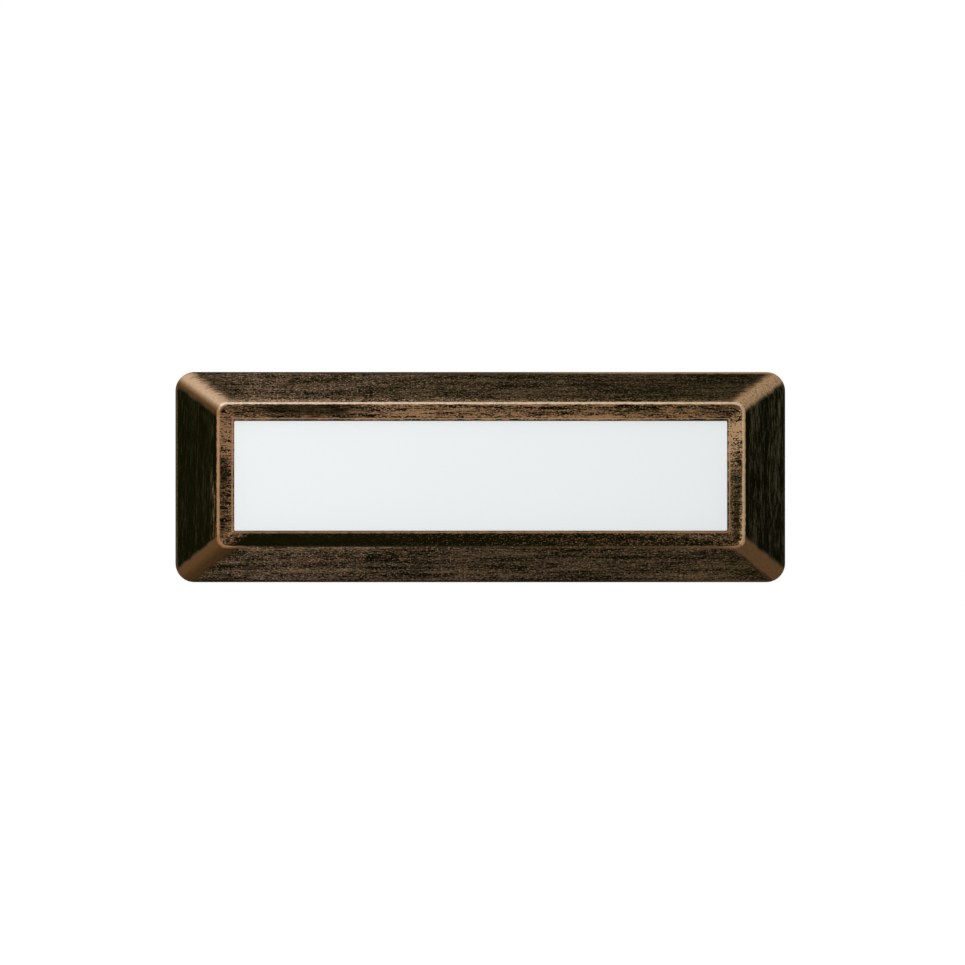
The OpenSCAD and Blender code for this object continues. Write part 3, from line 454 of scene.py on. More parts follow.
# %% Amounts of copper on the edges
RIDGE_LINE = {
    "top": 1.0,
    "bottom": ((0, 0.9), (0.02, 0.7), (0.06, 0.12), (0.09, 0.05), (0.6, 0.08), (0.8, 0.15), (0.95, 0.3),
               (1, 0.9)),
    "left": ((0, 0.9), (0.5, 0.95), (1, 1)),
    "right": ((0, 0.95), (1, 1)),
}
RIDGE_PLACE = {"top": (0.45, 1.05), "bottom": (0.2, 1.0), "left": (0.25, 1.2), "right": (0.35, 1.25)}
LIP_LINE = {"top": 0.9, "bottom": ((0, 0.6), (1, 0.8)), "left": 0.9, "right": ((0, 0.6), (1, 0.9))}
LIP_RUB = {"top": 0.22, "bottom": 0.03, "left": 0.36, "right": 0.14}
LIP_FALL = {"top": 5.0, "bottom": 1.0, "left": 1.0, "right": 1.5}
LIP_SHIFT = {"top": 0.0, "bottom": -0.35, "left": 0.0, "right": 0.0}
RIM_LINE = {
    "top": ((0, 0.0), (0.3, 0.1), (0.55, 0.2), (0.68, 0.65), (1, 0.85)),
    "bottom": ((0, 0.0), (0.8, 0.05), (0.9, 0.3), (1, 0.1)),
    "left": ((0, 0.25), (1, 0.3)),
    "right": ((0, 0.05), (0.9, 0.05), (1, 0.7)),
}
RUB = {
    "top outer": ((0, 0.22), (1, 0.12)),
    "bottom outer": 0.02,
    "left outer": ((0, 0.08), (0.15, 0.16), (0.3, 0.28), (0.48, 0.26), (0.6, 0.05), (1, 0.05)),
    "right outer": ((0, 0.0), (0.7, 0.0), (0.88, 0.12), (1, 0.1)),
    "right inner": ((0, 0.6), (0.25, 0.6), (0.42, 0), (1, 0)),
}
# Painted highlight along each ridge, mixed into the colour: full on top, weaker on the right, none below or
# on the left.
RIDGE_HIGHLIGHT = {"top": 1.0, "right": 0.4, "bottom": 0.0, "left": 0.0}
LINE_TONE = {"top": 0.85, "right": 0.85, "bottom": 0.4, "left": 0.45}
print("ridge lines as wide as", [2 * width for _, width in RIDGE_PLACE.values()], "mm")

# %% Hips
# For each corner, by whether it is on the right and on top: width, tone and amount on the long side and on
# the short side, and how far the blend between them is moved.
# The low tone and amount on the short side of the top-left hip are painted shade for its left-facing half;
# the other tones and amounts are the wax's own.
HIPS = {
    (False, True): ((5.7 * MM, 1.1, 1.0), (4.6 * MM, 0.0, 0.24), 1.3 * MM),
    (True, True): ((5.2 * MM, 0.75, 1.0), (3.5 * MM, 0.7, 0.95), 0.0),
    (True, False): ((3.9 * MM, 0.15, 0.43), (4.5 * MM, 0.1, 0.45), 0.0),
    (False, False): ((5.4 * MM, 0.0, 0.22), (4.2 * MM, 0.0, 0.36), -0.9 * MM),
}
HIP_BLEND = 3.2 * MM
print("hips", len(HIPS))

# %% Value along a side


def at(stops, t):
    """The value at t on a line through a few stops; a plain number holds all along."""
    if isinstance(stops, float):
        return stops
    for (t0, v0), (t1, v1) in zip(stops, stops[1:]):
        if t <= t1:
            return v0 + (v1 - v0) * max(0.0, (t - t0) / (t1 - t0))
    return stops[-1][1]


print("half way along the left ridge", at(RIDGE_LINE["left"], 0.5))

# %% [markdown]
# ### Masks on the skin
# Each corner of each face gets a place in brush coordinates, one along the stroke and one across it, and
# its distances from hip, ridge, lip and rim. The material reads them as attributes, so the wax sits right
# on the edges whatever the size of the frame. On the two short inner slopes the brush went across, so there
# they swap.

# %% Distance along the section


def section_path(axis):
    """Distance of each row from the ridge along the section, positive outwards, for one pair of sides."""
    walked = [0.0]
    for (_, a), (_, b) in zip(rows, rows[1:]):
        walked.append(walked[-1] + math.hypot(a[axis] - b[axis], a[3] - b[3]))
    top = max(range(len(rows)), key=lambda i: rows[i][1][3])
    return [walked[top] - w for w in walked]


def path_at(name, axis):
    """Distance of the middle of a rounded edge from the ridge."""
    found = [paths[axis][i] for i, row in enumerate(rows) if row[0] == name]
    return found[BEND_STEPS // 2]


paths = [section_path(0), section_path(1)]
print("rim to ridge in mm", [round(path_at("rim", a) / MM, 2) for a in (0, 1)])

# %% Masks of one corner of a face
CUT = 1 - math.sqrt(0.5)
OUTER_HIP = (inset(FRAME, CORNER_R * CUT), inset(RIDGE, RIDGE_R * CUT))
PAINTED = ("rim foot", "rim", "ridge", "lip", "lip edge")
GAPS = ("hip_gap", "ridge_gap", "ridge_near", "lip_gap", "rim_gap")
FAR = 10.0
SIDE_SHIFT = 0.37
INNER_FALL = 2.2


def hip_distance(point):
    """Distance of a point from the hip of its corner, seen from the front: positive on the long side."""
    start, end = OUTER_HIP
    fold = Vector((abs(point.x), abs(point.y))) - start
    slant = (end - start).normalized()
    return fold.x * slant.y - fold.y * slant.x


def hip_masks(side, point):
    """Distance from the hip in widths, and tone and amount, blended from one side of it to the other; both
    also carry painted shade on the top-left hip.
    """
    gap = hip_distance(point)
    long_side, short_side, shift = HIPS[point.x > 0, point.y > 0]
    share = min(1.0, max(0.0, 0.5 + (gap + shift) / HIP_BLEND))
    _, tone, amount = [a + (b - a) * share for a, b in zip(short_side, long_side)]
    return abs(gap) / (long_side if side in ("top", "bottom") else short_side)[0], tone, amount


def face_masks(side, zone, row, point, path, axis):
    """Brush coordinates and masks of one corner of a face, by the side and the zone of the face."""
    face = f"{side} {zone}"
    level, reach = (point.x, row.x) if side in ("top", "bottom") else (point.y, row.y)
    t = (level + reach) / (2 * reach)
    brush = (path, level) if zone == "inner" and side in ("left", "right") else (level, path)
    offset = SIDES.index(side) * SIDE_SHIFT
    hip_gap, hip_tone_and_shade, hip_amount_and_shade = hip_masks(side, point)
    centre, width = RIDGE_PLACE[side]
    lip = path - path_at("lip", axis) - LIP_SHIFT[side] * MM
    return (brush[0] + offset, brush[1] + offset), {
        "copper": at(COPPER[face], t),
        "streaky": STREAKY_TONE[face][0],
        "sparse": at(SPARSE.get(face, 0.0), t),
        "bare": 1.0 if face == "right outer" else 0.0,
        "tone": STREAKY_TONE[face][1],
        "hip_gap": hip_gap if zone == "outer" else FAR,
        "hip_tone_and_shade": hip_tone_and_shade,
        "hip_amount_and_shade": hip_amount_and_shade,
        "ridge_gap": path if zone == "outer" else -INNER_FALL * path,
        "ridge_near": abs(path - centre * MM) / (width * MM),
        "ridge_line": at(RIDGE_LINE[side], t),
        "ridge_highlight": RIDGE_HIGHLIGHT[side],
        "rub": at(RUB.get(face, 0.0), t),
        "line_tone": LINE_TONE[side],
        "lip_gap": max(lip, -lip * LIP_FALL[side]),
        "lip_line": at(LIP_LINE[side], t),
        "lip_rub": LIP_RUB[side],
        "rim_gap": abs(path - path_at("rim", axis)),
        "rim_line": at(RIM_LINE[side], t),
    }


sample = face_masks("top", "outer", rows[0][1], Vector((0.0, 0.0)), 0.0, 1)
MASKS = tuple(sample[1])
print("masks", MASKS)

# %% [markdown]
# ### Screw bosses
# Behind the long sides stand ten posts with blind screw holes. A profile of radius and depth is spun round
# for each. They run into the casting, as the metal does in the mould.

# %% Skin of a screw boss
BOSS_R = 2.4 * MM
BOSS_Z = BORDER.y + BOSS_R - 0.8 * MM
BOSS_TOP = RIM + (HALF_H - BOSS_Z - BOSS_R) * RISE / RIDGE_IN.y - 1.4 * MM
BOSS_X = [x * MM for x in (-100, -55, 0, 55, 100)]
BORE_R = 1.15 * MM
BORE_END = BOSS_TOP - 0.8 * MM
BREAK = 0.15 * MM
BOSS_STEPS = 24
BOSS_PROFILE = ((BOSS_R, BOSS_TOP), (BOSS_R, SEAT_BACK + BREAK), (BOSS_R - BREAK, SEAT_BACK),
                (BORE_R + BREAK, SEAT_BACK), (BORE_R, SEAT_BACK + BREAK), (BORE_R, BORE_END))


def joined(skin, grid):
    """The new faces between neighbouring rings of points."""
    count = len(grid[0])
    corners = [(a[j], a[j + 1 - count], b[j + 1 - count], b[j])
               for a, b in zip(grid, grid[1:]) for j in range(count)]
    return [skin.faces.new(points) for points in corners]


def add_boss(skin, x, z, layers):
    """Adds a closed post with a blind hole to the skin, without any copper on it."""
    turn = [2 * math.pi * i / BOSS_STEPS for i in range(BOSS_STEPS)]
    grid = [[skin.verts.new((x + r * math.cos(a), -out, z + r * math.sin(a))) for a in turn]
            for r, out in BOSS_PROFILE]
    faces = [skin.faces.new(grid[0]), skin.faces.new(grid[-1])]
    for face in faces + joined(skin, grid):
        for loop in face.loops:
            for name in GAPS:
                loop[layers[name]] = FAR


print("bosses at", [round(x / MM) for x in BOSS_X], "top", round(BOSS_TOP / MM, 2))

# %% [markdown]
# ### The skin
# Four-sided faces join neighbouring rings. A casting is never quite flat, so its front is pressed in by a
# few hundredths of a millimetre in soft waves, which makes the highlight of the ridge wander as on the real
# frame. It is only pressed in, so it stays inside the size of the construction.

# %% Build the frame
PRESS = 0.06 * MM
WAVE = 22 * MM


def pressed(point, name):
    """Depth of the soft waves at a point of the front."""
    if name not in PAINTED or name == "rim foot":
        return 0.0
    return PRESS * (0.5 + 0.5 * noise.noise(Vector((point.x / WAVE, point.y / WAVE, 3.7))))


def mark_face(face, i, j, outlines, layers, brush):
    """Writes the masks of the face that lies after row i and step j."""
    k, n = (i + 1) % len(rows), (j + 1) % COUNT
    side = SIDES[STEP_SIDE[j]]
    axis = 1 if side in ("top", "bottom") else 0
    zone = "outer" if paths[axis][k] > -1e-9 else "inner"
    for loop, (row, step) in zip(face.loops, ((i, j), (i, n), (k, n), (k, j))):
        place, masks = face_masks(side, zone, rows[row][1], outlines[row][step], paths[axis][row], axis)
        loop[brush].uv = place
        if rows[i][0] in PAINTED:
            for name in MASKS:
                loop[layers[name]] = masks[name]
        else:
            for name in GAPS:
                loop[layers[name]] = FAR


def smooth_mesh(skin, name, sharp):
    """Smooth mesh of a skin; edges that turn by more than an angle in degrees stay sharp."""
    for face in skin.faces:
        face.smooth = True
    bmesh.ops.recalc_face_normals(skin, faces=skin.faces)
    mesh = bpy.data.meshes.new(name)
    skin.to_mesh(mesh)
    skin.free()
    mesh.set_sharp_from_angle(angle=math.radians(sharp))
    return mesh


def build_frame():
    """Mesh of the cast frame with its masks and brush coordinates."""
    skin = bmesh.new()
    layers = {name: skin.loops.layers.float.new(name) for name in MASKS}
    brush = skin.loops.layers.uv.new("brush")
    outlines = [ring_outline(*row.xyz) for _, row in rows]
    grid = [[skin.verts.new((p.x, pressed(p, name) - row.w, p.y)) for p in outline]
            for (name, row), outline in zip(rows, outlines)]
    for number, face in enumerate(joined(skin, grid + grid[:1])):
        mark_face(face, *divmod(number, COUNT), outlines, layers, brush)
    for x in BOSS_X:
        for z in (-BOSS_Z, BOSS_Z):
            add_boss(skin, x, z, layers)
    return smooth_mesh(skin, "cast_frame", 40)


def put(name, data):
    """A new object in the scene."""
    thing = bpy.data.objects.new(name, data)
    bpy.context.scene.collection.objects.link(thing)
    return thing


def show(name, mesh, body, slot, *replaced):
    """Puts a mesh in the scene as a piece of the light."""
    piece = put(name, mesh)
    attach(piece, body)
    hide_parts(*replaced)
    return piece


cast_frame = show("cast_frame", build_frame(), "front_frame", "antique_copper", "bezel_frame")
print("frame faces", len(cast_frame.data.polygons))

# %% [markdown]
# ## The diffuser
# The opal plate has a thin flange behind the lip and a raised panel that fills the window. The gap round
# the panel is a hair line, and its rounded edge catches a light line. It is again a stack of rings, this
# time closed at both ends.

# %% Build the diffuser
PANEL_GAP = 0.15 * MM
PANEL_OUT = 15.7 * MM
GLASS_FRONT = 13.7 * MM
FLANGE_GAP = 0.3 * MM
EDGE = 0.3 * MM
SOFT = 0.2 * MM


def through(name, rings, flat_ends):
    """Closed mesh through rings: a stack that is flat at both ends, or a loop back to the first ring."""
    skin = bmesh.new()
    grid = [[skin.verts.new((p.x, -row.w, p.y)) for p in ring_outline(*row.xyz)] for row in rings]
    if flat_ends:
        skin.faces.new(grid[0])
        skin.faces.new(grid[-1])
    else:
        grid.append(grid[0])
    joined(skin, grid)
    return smooth_mesh(skin, name, 50)


def quarter(half, radius, out, edge, direction, steps=5):
    """Rings of a rounded edge: from the side face to the flat face, outwards or backwards."""
    found = []
    for i in range(steps + 1):
        a = math.pi / 2 * i / steps
        back = edge * (1 - math.cos(a))
        level = out - direction * edge * (1 - math.sin(a))
        found.append(ring(inset(half, back), max(radius - back / 2, 0.1 * MM), level))
    return found


FLANGE = inset(SEAT, FLANGE_GAP)
PANEL = inset(WINDOW, PANEL_GAP)
flange_rings = list(reversed(quarter(FLANGE, SEAT_R, SEAT_BACK, SOFT, -1)))
flange_rings += quarter(FLANGE, SEAT_R, GLASS_FRONT, SOFT, 1)
panel_rings = [ring(PANEL, WINDOW_R, GLASS_FRONT)] + quarter(PANEL, WINDOW_R, PANEL_OUT, EDGE, 1)
panel_rings += [ring(inset(PANEL, d), 0.5 * MM, PANEL_OUT) for d in (1 * MM, 3 * MM, 10 * MM, 20 * MM)]
opal_mesh = through("opal_plate", flange_rings + panel_rings, flat_ends=True)
opal_plate = show("opal_plate", opal_mesh, "front_frame", "opal", "diffuser")
print("diffuser faces", len(opal_plate.data.polygons))

# %% [markdown]
# ## The foam seal
# A die-cut ring of closed-cell foam lies between the housing's flange and the wall. Foam bulges a little
# where it is squeezed, so the section of the ring is a soft barrel inside the room that the construction
# keeps for it.

# %% Build the foam seal
seal_low, seal_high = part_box("wall_seal")
SEAL_OUTER = Vector((seal_high.x, seal_high.z))
SEAL_INNER = Vector((119.7 * MM, 33.6 * MM))
SEAL_BACK = -seal_high.y
SEAL_FRONT = -seal_low.y
SEAL_R = 4 * MM
BULGE = 0.35 * MM


def barrel(half, radius, direction, steps=6):
    """Rings of one bulged side of the foam, from the back to the front."""
    found = []
    for i in range(steps + 1):
        s = 2 * i / steps - 1
        back = BULGE * s * s * direction
        found.append(ring(inset(half, back), radius, SEAL_BACK + (SEAL_FRONT - SEAL_BACK) * i / steps))
    return found


seal_rings = barrel(SEAL_OUTER, SEAL_R, 1) + list(reversed(barrel(SEAL_INNER, SEAL_R / 2, -1)))
seal_mesh = through("foam_seal", seal_rings, flat_ends=False)
foam_seal = show("foam_seal", seal_mesh, "housing", "foam", "wall_seal")
print("seal", [round(v / MM, 1) for v in SEAL_OUTER], "thick", round((SEAL_FRONT - SEAL_BACK) / MM, 2))

# %% [markdown]
# ## Finishes
# Each finish is one function. It reads where the surface is, asks the groups for masks, and sets colour,
# roughness and bump.

# %% Helpers for finishes


def attribute(tree, name):
    """A mask that was written on the mesh."""
    return add(tree, "Attribute", attribute_name=name).outputs["Fac"]


def emboss(tree, shader, height, distance):
    """Bumps the surface by a height from 0 to 1, times a distance in metres."""
    bump = add(tree, "Bump", {"Height": height, "Strength": 1.0, "Distance": distance})
    fill(tree, shader.inputs["Normal"], bump.outputs["Normal"])


print("masks and bumps ready")

# %% [markdown]
# ### Antique copper wax on black paint
# Along the top ridge, and more weakly along the right one, a pale highlight is painted into the wax's
# colour.
# Two layers are told apart by one mask. The black paint below is nearly without gloss. The wax carries
# bronze powder, so it is partly metallic and smoother. The mask is the sum of what the brush left on the
# faces, broken up into speckle and long streaks, and the lines that it left on hips, ridge, lip and rim.
# The spray doesn't reach well into the hollow behind, so the black is thinner there and the grey casting
# shows through in clouds.

# %% Antique copper
BLACK_PAINT = (0.0036, 0.0037, 0.0003, 1)
DULL_BACK = (0.018, 0.018, 0.017, 1)
BARE_CAST = (0.034, 0.034, 0.033, 1)
COPPER_RED = (0.30, 0.143, 0.055, 1)
COPPER_PINK = (0.45, 0.30, 0.19, 1)
COPPER_YELLOW = (0.42, 0.28, 0.15, 1)
# The next two pale colours paint the highlight along the ridge.
HIGHLIGHT_PALE = (0.57, 0.46, 0.36, 1)
HIGHLIGHT_CREAM = (0.60, 0.45, 0.29, 1)
COPPER_HAZE = (0.22, 0.20, 0.12, 1)
RUBBED = 6 * MM
LIP_RUBBED = 4 * MM
RIM_FADE = (0.8 * MM, 2.6 * MM)
BARE_STRIP = (4.2 * MM, 3.2 * MM)
MEAN_SPOT = 0.17
# Length and width of the strokes in millimetres, their seed and their spread.
STROKES = {"speckle": (1.3, 0.65, 1.0, 0.2), "streaks": (7, 0.75, 5.0, 0.16), "bands": (45, 3.2, 9.0, 0.2)}
# How strongly each pattern breaks the wax up on a speckled face, and on a streaky one.
WEIGHTS = {"speckle": (2.0, 1.6), "streaks": (1.2, 5.6), "bands": (1.4, 5.0), "clouds": (0.5, 1.6),
           "spots": (4.3, 1.4)}
# Masks of strength and of distance, the unit of the distance, and width, softness and wander of the line.
EDGES = (("ridge_line", "ridge_near", 1.0, 1.0, 0.6, 0.35), ("lip_line", "lip_gap", MM, 0.62, 0.6, 0.5),
         ("rim_line", "rim_gap", MM, 2.2, 0.5, 0.6))


def brush_pattern(tree, brush, spot):
    """Speckle, streaks, bands, clouds and spots of the dry brush, each round 0."""
    clouds = use(tree, blotches, spot, Size=18 * MM, Seed=2.0, Spread=0.2)
    found = {"clouds": sums(tree, "SUBTRACT", clouds, 0.5)}
    for name, (length, width, seed, spread) in STROKES.items():
        marks = use(tree, strokes, brush, Length=length * MM, Width=width * MM, Seed=seed, Spread=spread)
        found[name] = sums(tree, "SUBTRACT", marks, 0.5)
    spots = use(tree, grains, brush, Length=0.85 * MM, Width=0.58 * MM, Seed=3.0)
    found["spots"] = sums(tree, "SUBTRACT", spots, MEAN_SPOT)
    return found


def broken_up(tree, patterns):
    """How much more or less wax than the mean sits at a point: speckle or streaks, by the face."""
    streaky = attribute(tree, "streaky")
    value = sums(tree, "SUBTRACT", 1.0, attribute(tree, "sparse"))
    for name, (at_dots, at_lines) in WEIGHTS.items():
        value = plus(tree, patterns[name], scaled(tree, streaky, at_dots, at_lines), value)
    return most(tree, value, 0.0)


def edge_lines(tree, spot, speckle, patchy):
    """Copper on ridge, lip and rim, and the mask of the ridge alone."""
    found = []
    for line, gap, unit, width, soft, wild in EDGES:
        sizes = {"Width": width * unit, "Soft": soft, "Ragged": 0.25 * unit, "Size": 3 * MM}
        away = plus(tree, speckle, wild * unit, attribute(tree, gap))
        mask = use(tree, rubbed, spot, Distance=away, **sizes)
        found.append(times(tree, mask, attribute(tree, line), patchy))
    return most(tree, *found), found[0]


def face_wax(tree, patterns):
    """Copper that the brush left on the faces: more near ridge and lip, less right beside the rim."""
    ridge_gap = attribute(tree, "ridge_gap")
    rub = times(tree, remap(tree, ridge_gap, RUBBED, 0.0, kind="SMOOTHSTEP"), attribute(tree, "rub"))
    amount = sums(tree, "ADD", attribute(tree, "copper"), rub)
    near_lip = remap(tree, attribute(tree, "lip_gap"), LIP_RUBBED, 0.0, kind="SMOOTHSTEP")
    amount = plus(tree, near_lip, attribute(tree, "lip_rub"), amount)
    from_rim = remap(tree, attribute(tree, "rim_gap"), *RIM_FADE, 0.5, 1.0)
    bare = times(tree, attribute(tree, "bare"), remap(tree, ridge_gap, *BARE_STRIP))
    return times(tree, amount, from_rim, sums(tree, "SUBTRACT", 1.0, bare), broken_up(tree, patterns))


def hip_wax(tree, spot, patterns):
    """Mask of the thick wax on the hips; its border is wispy where light and smooth where dark."""
    light = attribute(tree, "hip_tone_and_shade")
    wander = sums(tree, "ADD", patterns["speckle"], patterns["streaks"])
    away = plus(tree, wander, scaled(tree, light, 0.05, 0.4), attribute(tree, "hip_gap"))
    soft = scaled(tree, light, 0.4, 0.7)
    return use(tree, rubbed, spot, Distance=away, Width=1.22, Soft=soft, Ragged=0.14, Size=6 * MM)


def rightwards(tree, spot):
    """Grows from 0 left of the middle to 1 beyond the right end, where the wax is yellower and drier."""
    return remap(tree, add(tree, "SeparateXYZ", {0: spot}).outputs["X"], -HALF_L / 2, HALF_L)


def copper_colour(tree, spot, patterns, hip, lines, ridge_line):
    """Colour of the wax: red where it is thin, greyish in a mere haze, and pale copper along the top and
    right ridge, where a highlight is painted.
    """
    right = rightwards(tree, spot)
    light = mix(tree, plus(tree, patterns["clouds"], 0.6, right), COPPER_PINK, COPPER_YELLOW)
    tone = plus(tree, patterns["streaks"], -0.5, attribute(tree, "tone"))
    # The hip tone also darkens the left-facing half of the top-left hip as painted shade.
    for mask, name in ((lines, "line_tone"), (hip, "hip_tone_and_shade")):
        thick_tone = times(tree, attribute(tree, name), scaled(tree, mask, 0.2, 1.0))
        tone = add(tree, "Mix", {0: scaled(tree, mask, 0.0, 2.0), 2: tone, 3: thick_tone}).outputs[0]
    haze = remap(tree, attribute(tree, "streaky"), 0.85, 1.0, 0.0, 0.85)
    off_ridge = remap(tree, attribute(tree, "ridge_gap"), 2 * MM, 5 * MM)
    haze = times(tree, haze, off_ridge, sums(tree, "SUBTRACT", 1.0, most(tree, hip, lines)))
    copper = mix(tree, haze, mix(tree, tone, COPPER_RED, light), COPPER_HAZE)
    # Painted highlight: pale copper along the ridge line, as strong as the ridge's highlight value.
    painted_highlight = times(tree, sums(tree, "POWER", ridge_line, 3.0), attribute(tree, "ridge_highlight"))
    return mix(tree, painted_highlight, copper, mix(tree, right, HIGHLIGHT_PALE, HIGHLIGHT_CREAM))


def antique_copper():
    """Black paint with dry-brushed copper wax."""
    tree, shader, spot = new_material("antique_copper")
    patterns = brush_pattern(tree, add(tree, "UVMap", uv_map="brush").outputs["UV"], spot)
    patchy = plus(tree, patterns["speckle"], 0.3, 0.93)
    lines, ridge_line = edge_lines(tree, spot, patterns["speckle"], patchy)
    hip = hip_wax(tree, spot, patterns)
    dry = times(tree, rightwards(tree, spot), attribute(tree, "hip_tone_and_shade"))
    specked = remap(tree, patterns["speckle"], -0.35, 0.05, scaled(tree, dry, 1.0, 0.3), 1.0)
    # The hip amount holds painted shade too: little wax on the left-facing half of the top-left hip.
    thick = times(tree, hip, attribute(tree, "hip_amount_and_shade"), patchy, specked)
    faces = times(tree, face_wax(tree, patterns), remap(tree, hip, 0.4, 1.0, 1.0, 0.0))
    cover = sums(tree, "MINIMUM", most(tree, faces, lines, thick), 1.0)
    copper = copper_colour(tree, spot, patterns, hip, lines, ridge_line)
    behind = remap(tree, attribute(tree, "ridge_gap"), FAR / 10, FAR / 2)
    thin = use(tree, blotches, spot, Size=14 * MM, Seed=12.0, Spread=0.2)
    paint = mix(tree, behind, BLACK_PAINT, mix(tree, thin, DULL_BACK, BARE_CAST))
    wire(tree, shader, Base_Color=mix(tree, cover, paint, copper), Metallic=scaled(tree, cover, 0.0, 0.3),
         Roughness=scaled(tree, cover, 0.55, 0.4), Specular_IOR_Level=0.005)
    fine = use(tree, grain, spot, Size=0.5 * MM, Seed=0.0, Spread=0.3)
    emboss(tree, shader, plus(tree, cover, 0.7, times(tree, fine, 0.5)), 0.03 * MM)


antique_copper()
print("finish antique_copper")

# %% [markdown]
# ### Opal
# The diffuser is moulded in milky plastic. Light goes a little way in and comes back, which a base colour
# close to white shows well enough at this thickness. The mould leaves a very faint flow in the gloss.

# %% Opal
OPAL = (0.815, 0.842, 0.852, 1)
OPAL_FLOW = (0.80, 0.83, 0.842, 1)


def opal():
    """Milky moulded plastic with a satin skin."""
    tree, shader, spot = new_material("opal")
    flow = use(tree, blotches, spot, Size=70 * MM, Seed=4.0, Spread=0.25)
    wire(tree, shader, Base_Color=mix(tree, flow, OPAL, OPAL_FLOW), Roughness=scaled(tree, flow, 0.3, 0.36))
    emboss(tree, shader, use(tree, grain, spot, Size=0.35 * MM, Seed=1.0, Spread=0.3), 0.002 * MM)


opal()
print("finish opal")

# %% [markdown]
# ### Moulded plastics, rubber and foam
# Moulded parts share one recipe: a base colour that drifts a little, a fine spark-eroded grain, and pale
# scuffs from handling, which come in patches. It takes the colour, the gloss and the size of the grain.

# %% Moulded parts
MOULDED = {
    "black_rubber": ((0.011, 0.011, 0.011), 0.62, 0.5, 0.012),
    "white_plastic": ((0.78, 0.78, 0.75), 0.42, 0.45, 0.008),
    "cream_plastic": ((0.74, 0.70, 0.60), 0.4, 0.4, 0.006),
    "lever_grey": ((0.065, 0.075, 0.08), 0.38, 0.4, 0.006),
    "gland_grey": ((0.075, 0.085, 0.09), 0.45, 0.5, 0.01),
    "box_plastic": ((0.026, 0.028, 0.03), 0.5, 0.9, 0.03),
    "brown_wire": ((0.12, 0.04, 0.016), 0.3, 0.6, 0.004),
    "blue_wire": ((0.02, 0.095, 0.4), 0.3, 0.6, 0.004),
    "red_wire": ((0.43, 0.04, 0.027), 0.3, 0.6, 0.004),
}


def shade(colour, factor):
    """A colour made darker or lighter, with alpha."""
    return tuple(min(1.0, c * factor) for c in colour[:3]) + (1.0,)


def scuffs(tree, spot):
    """Thin scratches and rubbed flecks, only in patches."""
    lines = use(tree, strokes, spot, Length=9 * MM, Width=0.3 * MM, Seed=11.0, Spread=0.09)
    flecks = use(tree, grains, spot, Length=1.4 * MM, Width=0.9 * MM, Seed=4.0)
    patch = use(tree, blotches, spot, Size=16 * MM, Seed=5.0, Spread=0.1)
    marks = most(tree, remap(tree, lines, 0.75, 1.0), remap(tree, flecks, 0.35, 0.8))
    return times(tree, marks, remap(tree, patch, 0.45, 1.0))


def moulded(name, colour, gloss, grain_size, grain_depth):
    """Plastic or rubber from a mould; the grain's size and depth are in millimetres."""
    tree, shader, spot = new_material(name)
    drift = use(tree, blotches, spot, Size=25 * MM, Seed=3.0, Spread=0.25)
    fine = use(tree, grain, spot, Size=grain_size * MM, Seed=7.0, Spread=0.3)
    worn = scuffs(tree, spot)
    body = mix(tree, drift, shade(colour, 0.82), shade(colour, 1.14))
    pale = tuple(0.72 * c + 0.09 for c in colour) + (1.0,)
    rough = plus(tree, worn, 0.15, scaled(tree, drift, gloss - 0.05, gloss + 0.08))
    wire(tree, shader, Base_Color=mix(tree, scaled(tree, worn, 0.0, 0.5), body, pale), Roughness=rough)
    emboss(tree, shader, fine, grain_depth * MM)


for slot, values in MOULDED.items():
    moulded(slot, *values)
print("moulded finishes", len(MOULDED))

# %% [markdown]
# ### Foam
# Closed-cell foam shows the cut walls of its cells. A Voronoi texture gives cells of about half a
# millimetre, dark in the middle and lighter on the walls.

# %% Foam
FOAM_WALL = (0.03, 0.03, 0.031, 1)
FOAM_HOLLOW = (0.008, 0.008, 0.008, 1)
FOAM_CELL = 0.6 * MM


def foam():
    """Die-cut closed-cell foam."""
    tree, shader, spot = new_material("foam")
    cells = add(tree, "TexVoronoi", {"Vector": spot, "Scale": 1 / FOAM_CELL}).outputs["Distance"]
    wall = remap(tree, cells, 0.2, 0.7)
    wire(tree, shader, Base_Color=mix(tree, wall, FOAM_HOLLOW, FOAM_WALL),
         Roughness=scaled(tree, wall, 0.95, 0.8))
    emboss(tree, shader, wall, 0.08 * MM)


foam()
print("finish foam")

# %% [markdown]
# ### Metals
# Bare metal parts differ in colour and in the marks of how they were made: rolled springs and clips show
# lines along the sheet, turned screws show short ones. Strokes drive both roughness and bump.

# %% Bare metals
METALS = {
    "clip_steel": ((0.56, 0.57, 0.58), 0.34, 18, 0.25),
    "screw_steel": ((0.5, 0.51, 0.52), 0.28, 1.2, 0.12),
    "spring_steel": ((0.6, 0.61, 0.63), 0.2, 25, 0.2),
    "brass": ((0.72, 0.47, 0.16), 0.27, 1.5, 0.15),
}


def bare_metal(name, colour, gloss, length, width):
    """Metal with rolling or turning marks; their length and width are in millimetres."""
    tree, shader, spot = new_material(name)
    marks = use(tree, strokes, spot, Length=length * MM, Width=width * MM, Seed=2.0, Spread=0.2)
    stain = use(tree, blotches, spot, Size=9 * MM, Seed=6.0, Spread=0.2)
    wire(tree, shader, Base_Color=mix(tree, stain, shade(colour, 0.82), shade(colour, 1.05)),
         Roughness=scaled(tree, marks, gloss - 0.06, gloss + 0.14), Metallic=1.0)
    emboss(tree, shader, marks, 0.006 * MM)


for slot, values in METALS.items():
    bare_metal(slot, *values)
print("metal finishes", len(METALS))

# %% [markdown]
# ### Powder coat and enamel
# Sprayed coats flow into a fine orange peel: soft bumps about a millimetre wide, under a gloss that changes
# slightly from place to place. Single grains of the powder stay a little darker than the rest. Circuit
# boards get the same recipe, but instead of grains the hair lines between their copper areas show faintly
# through the mask.

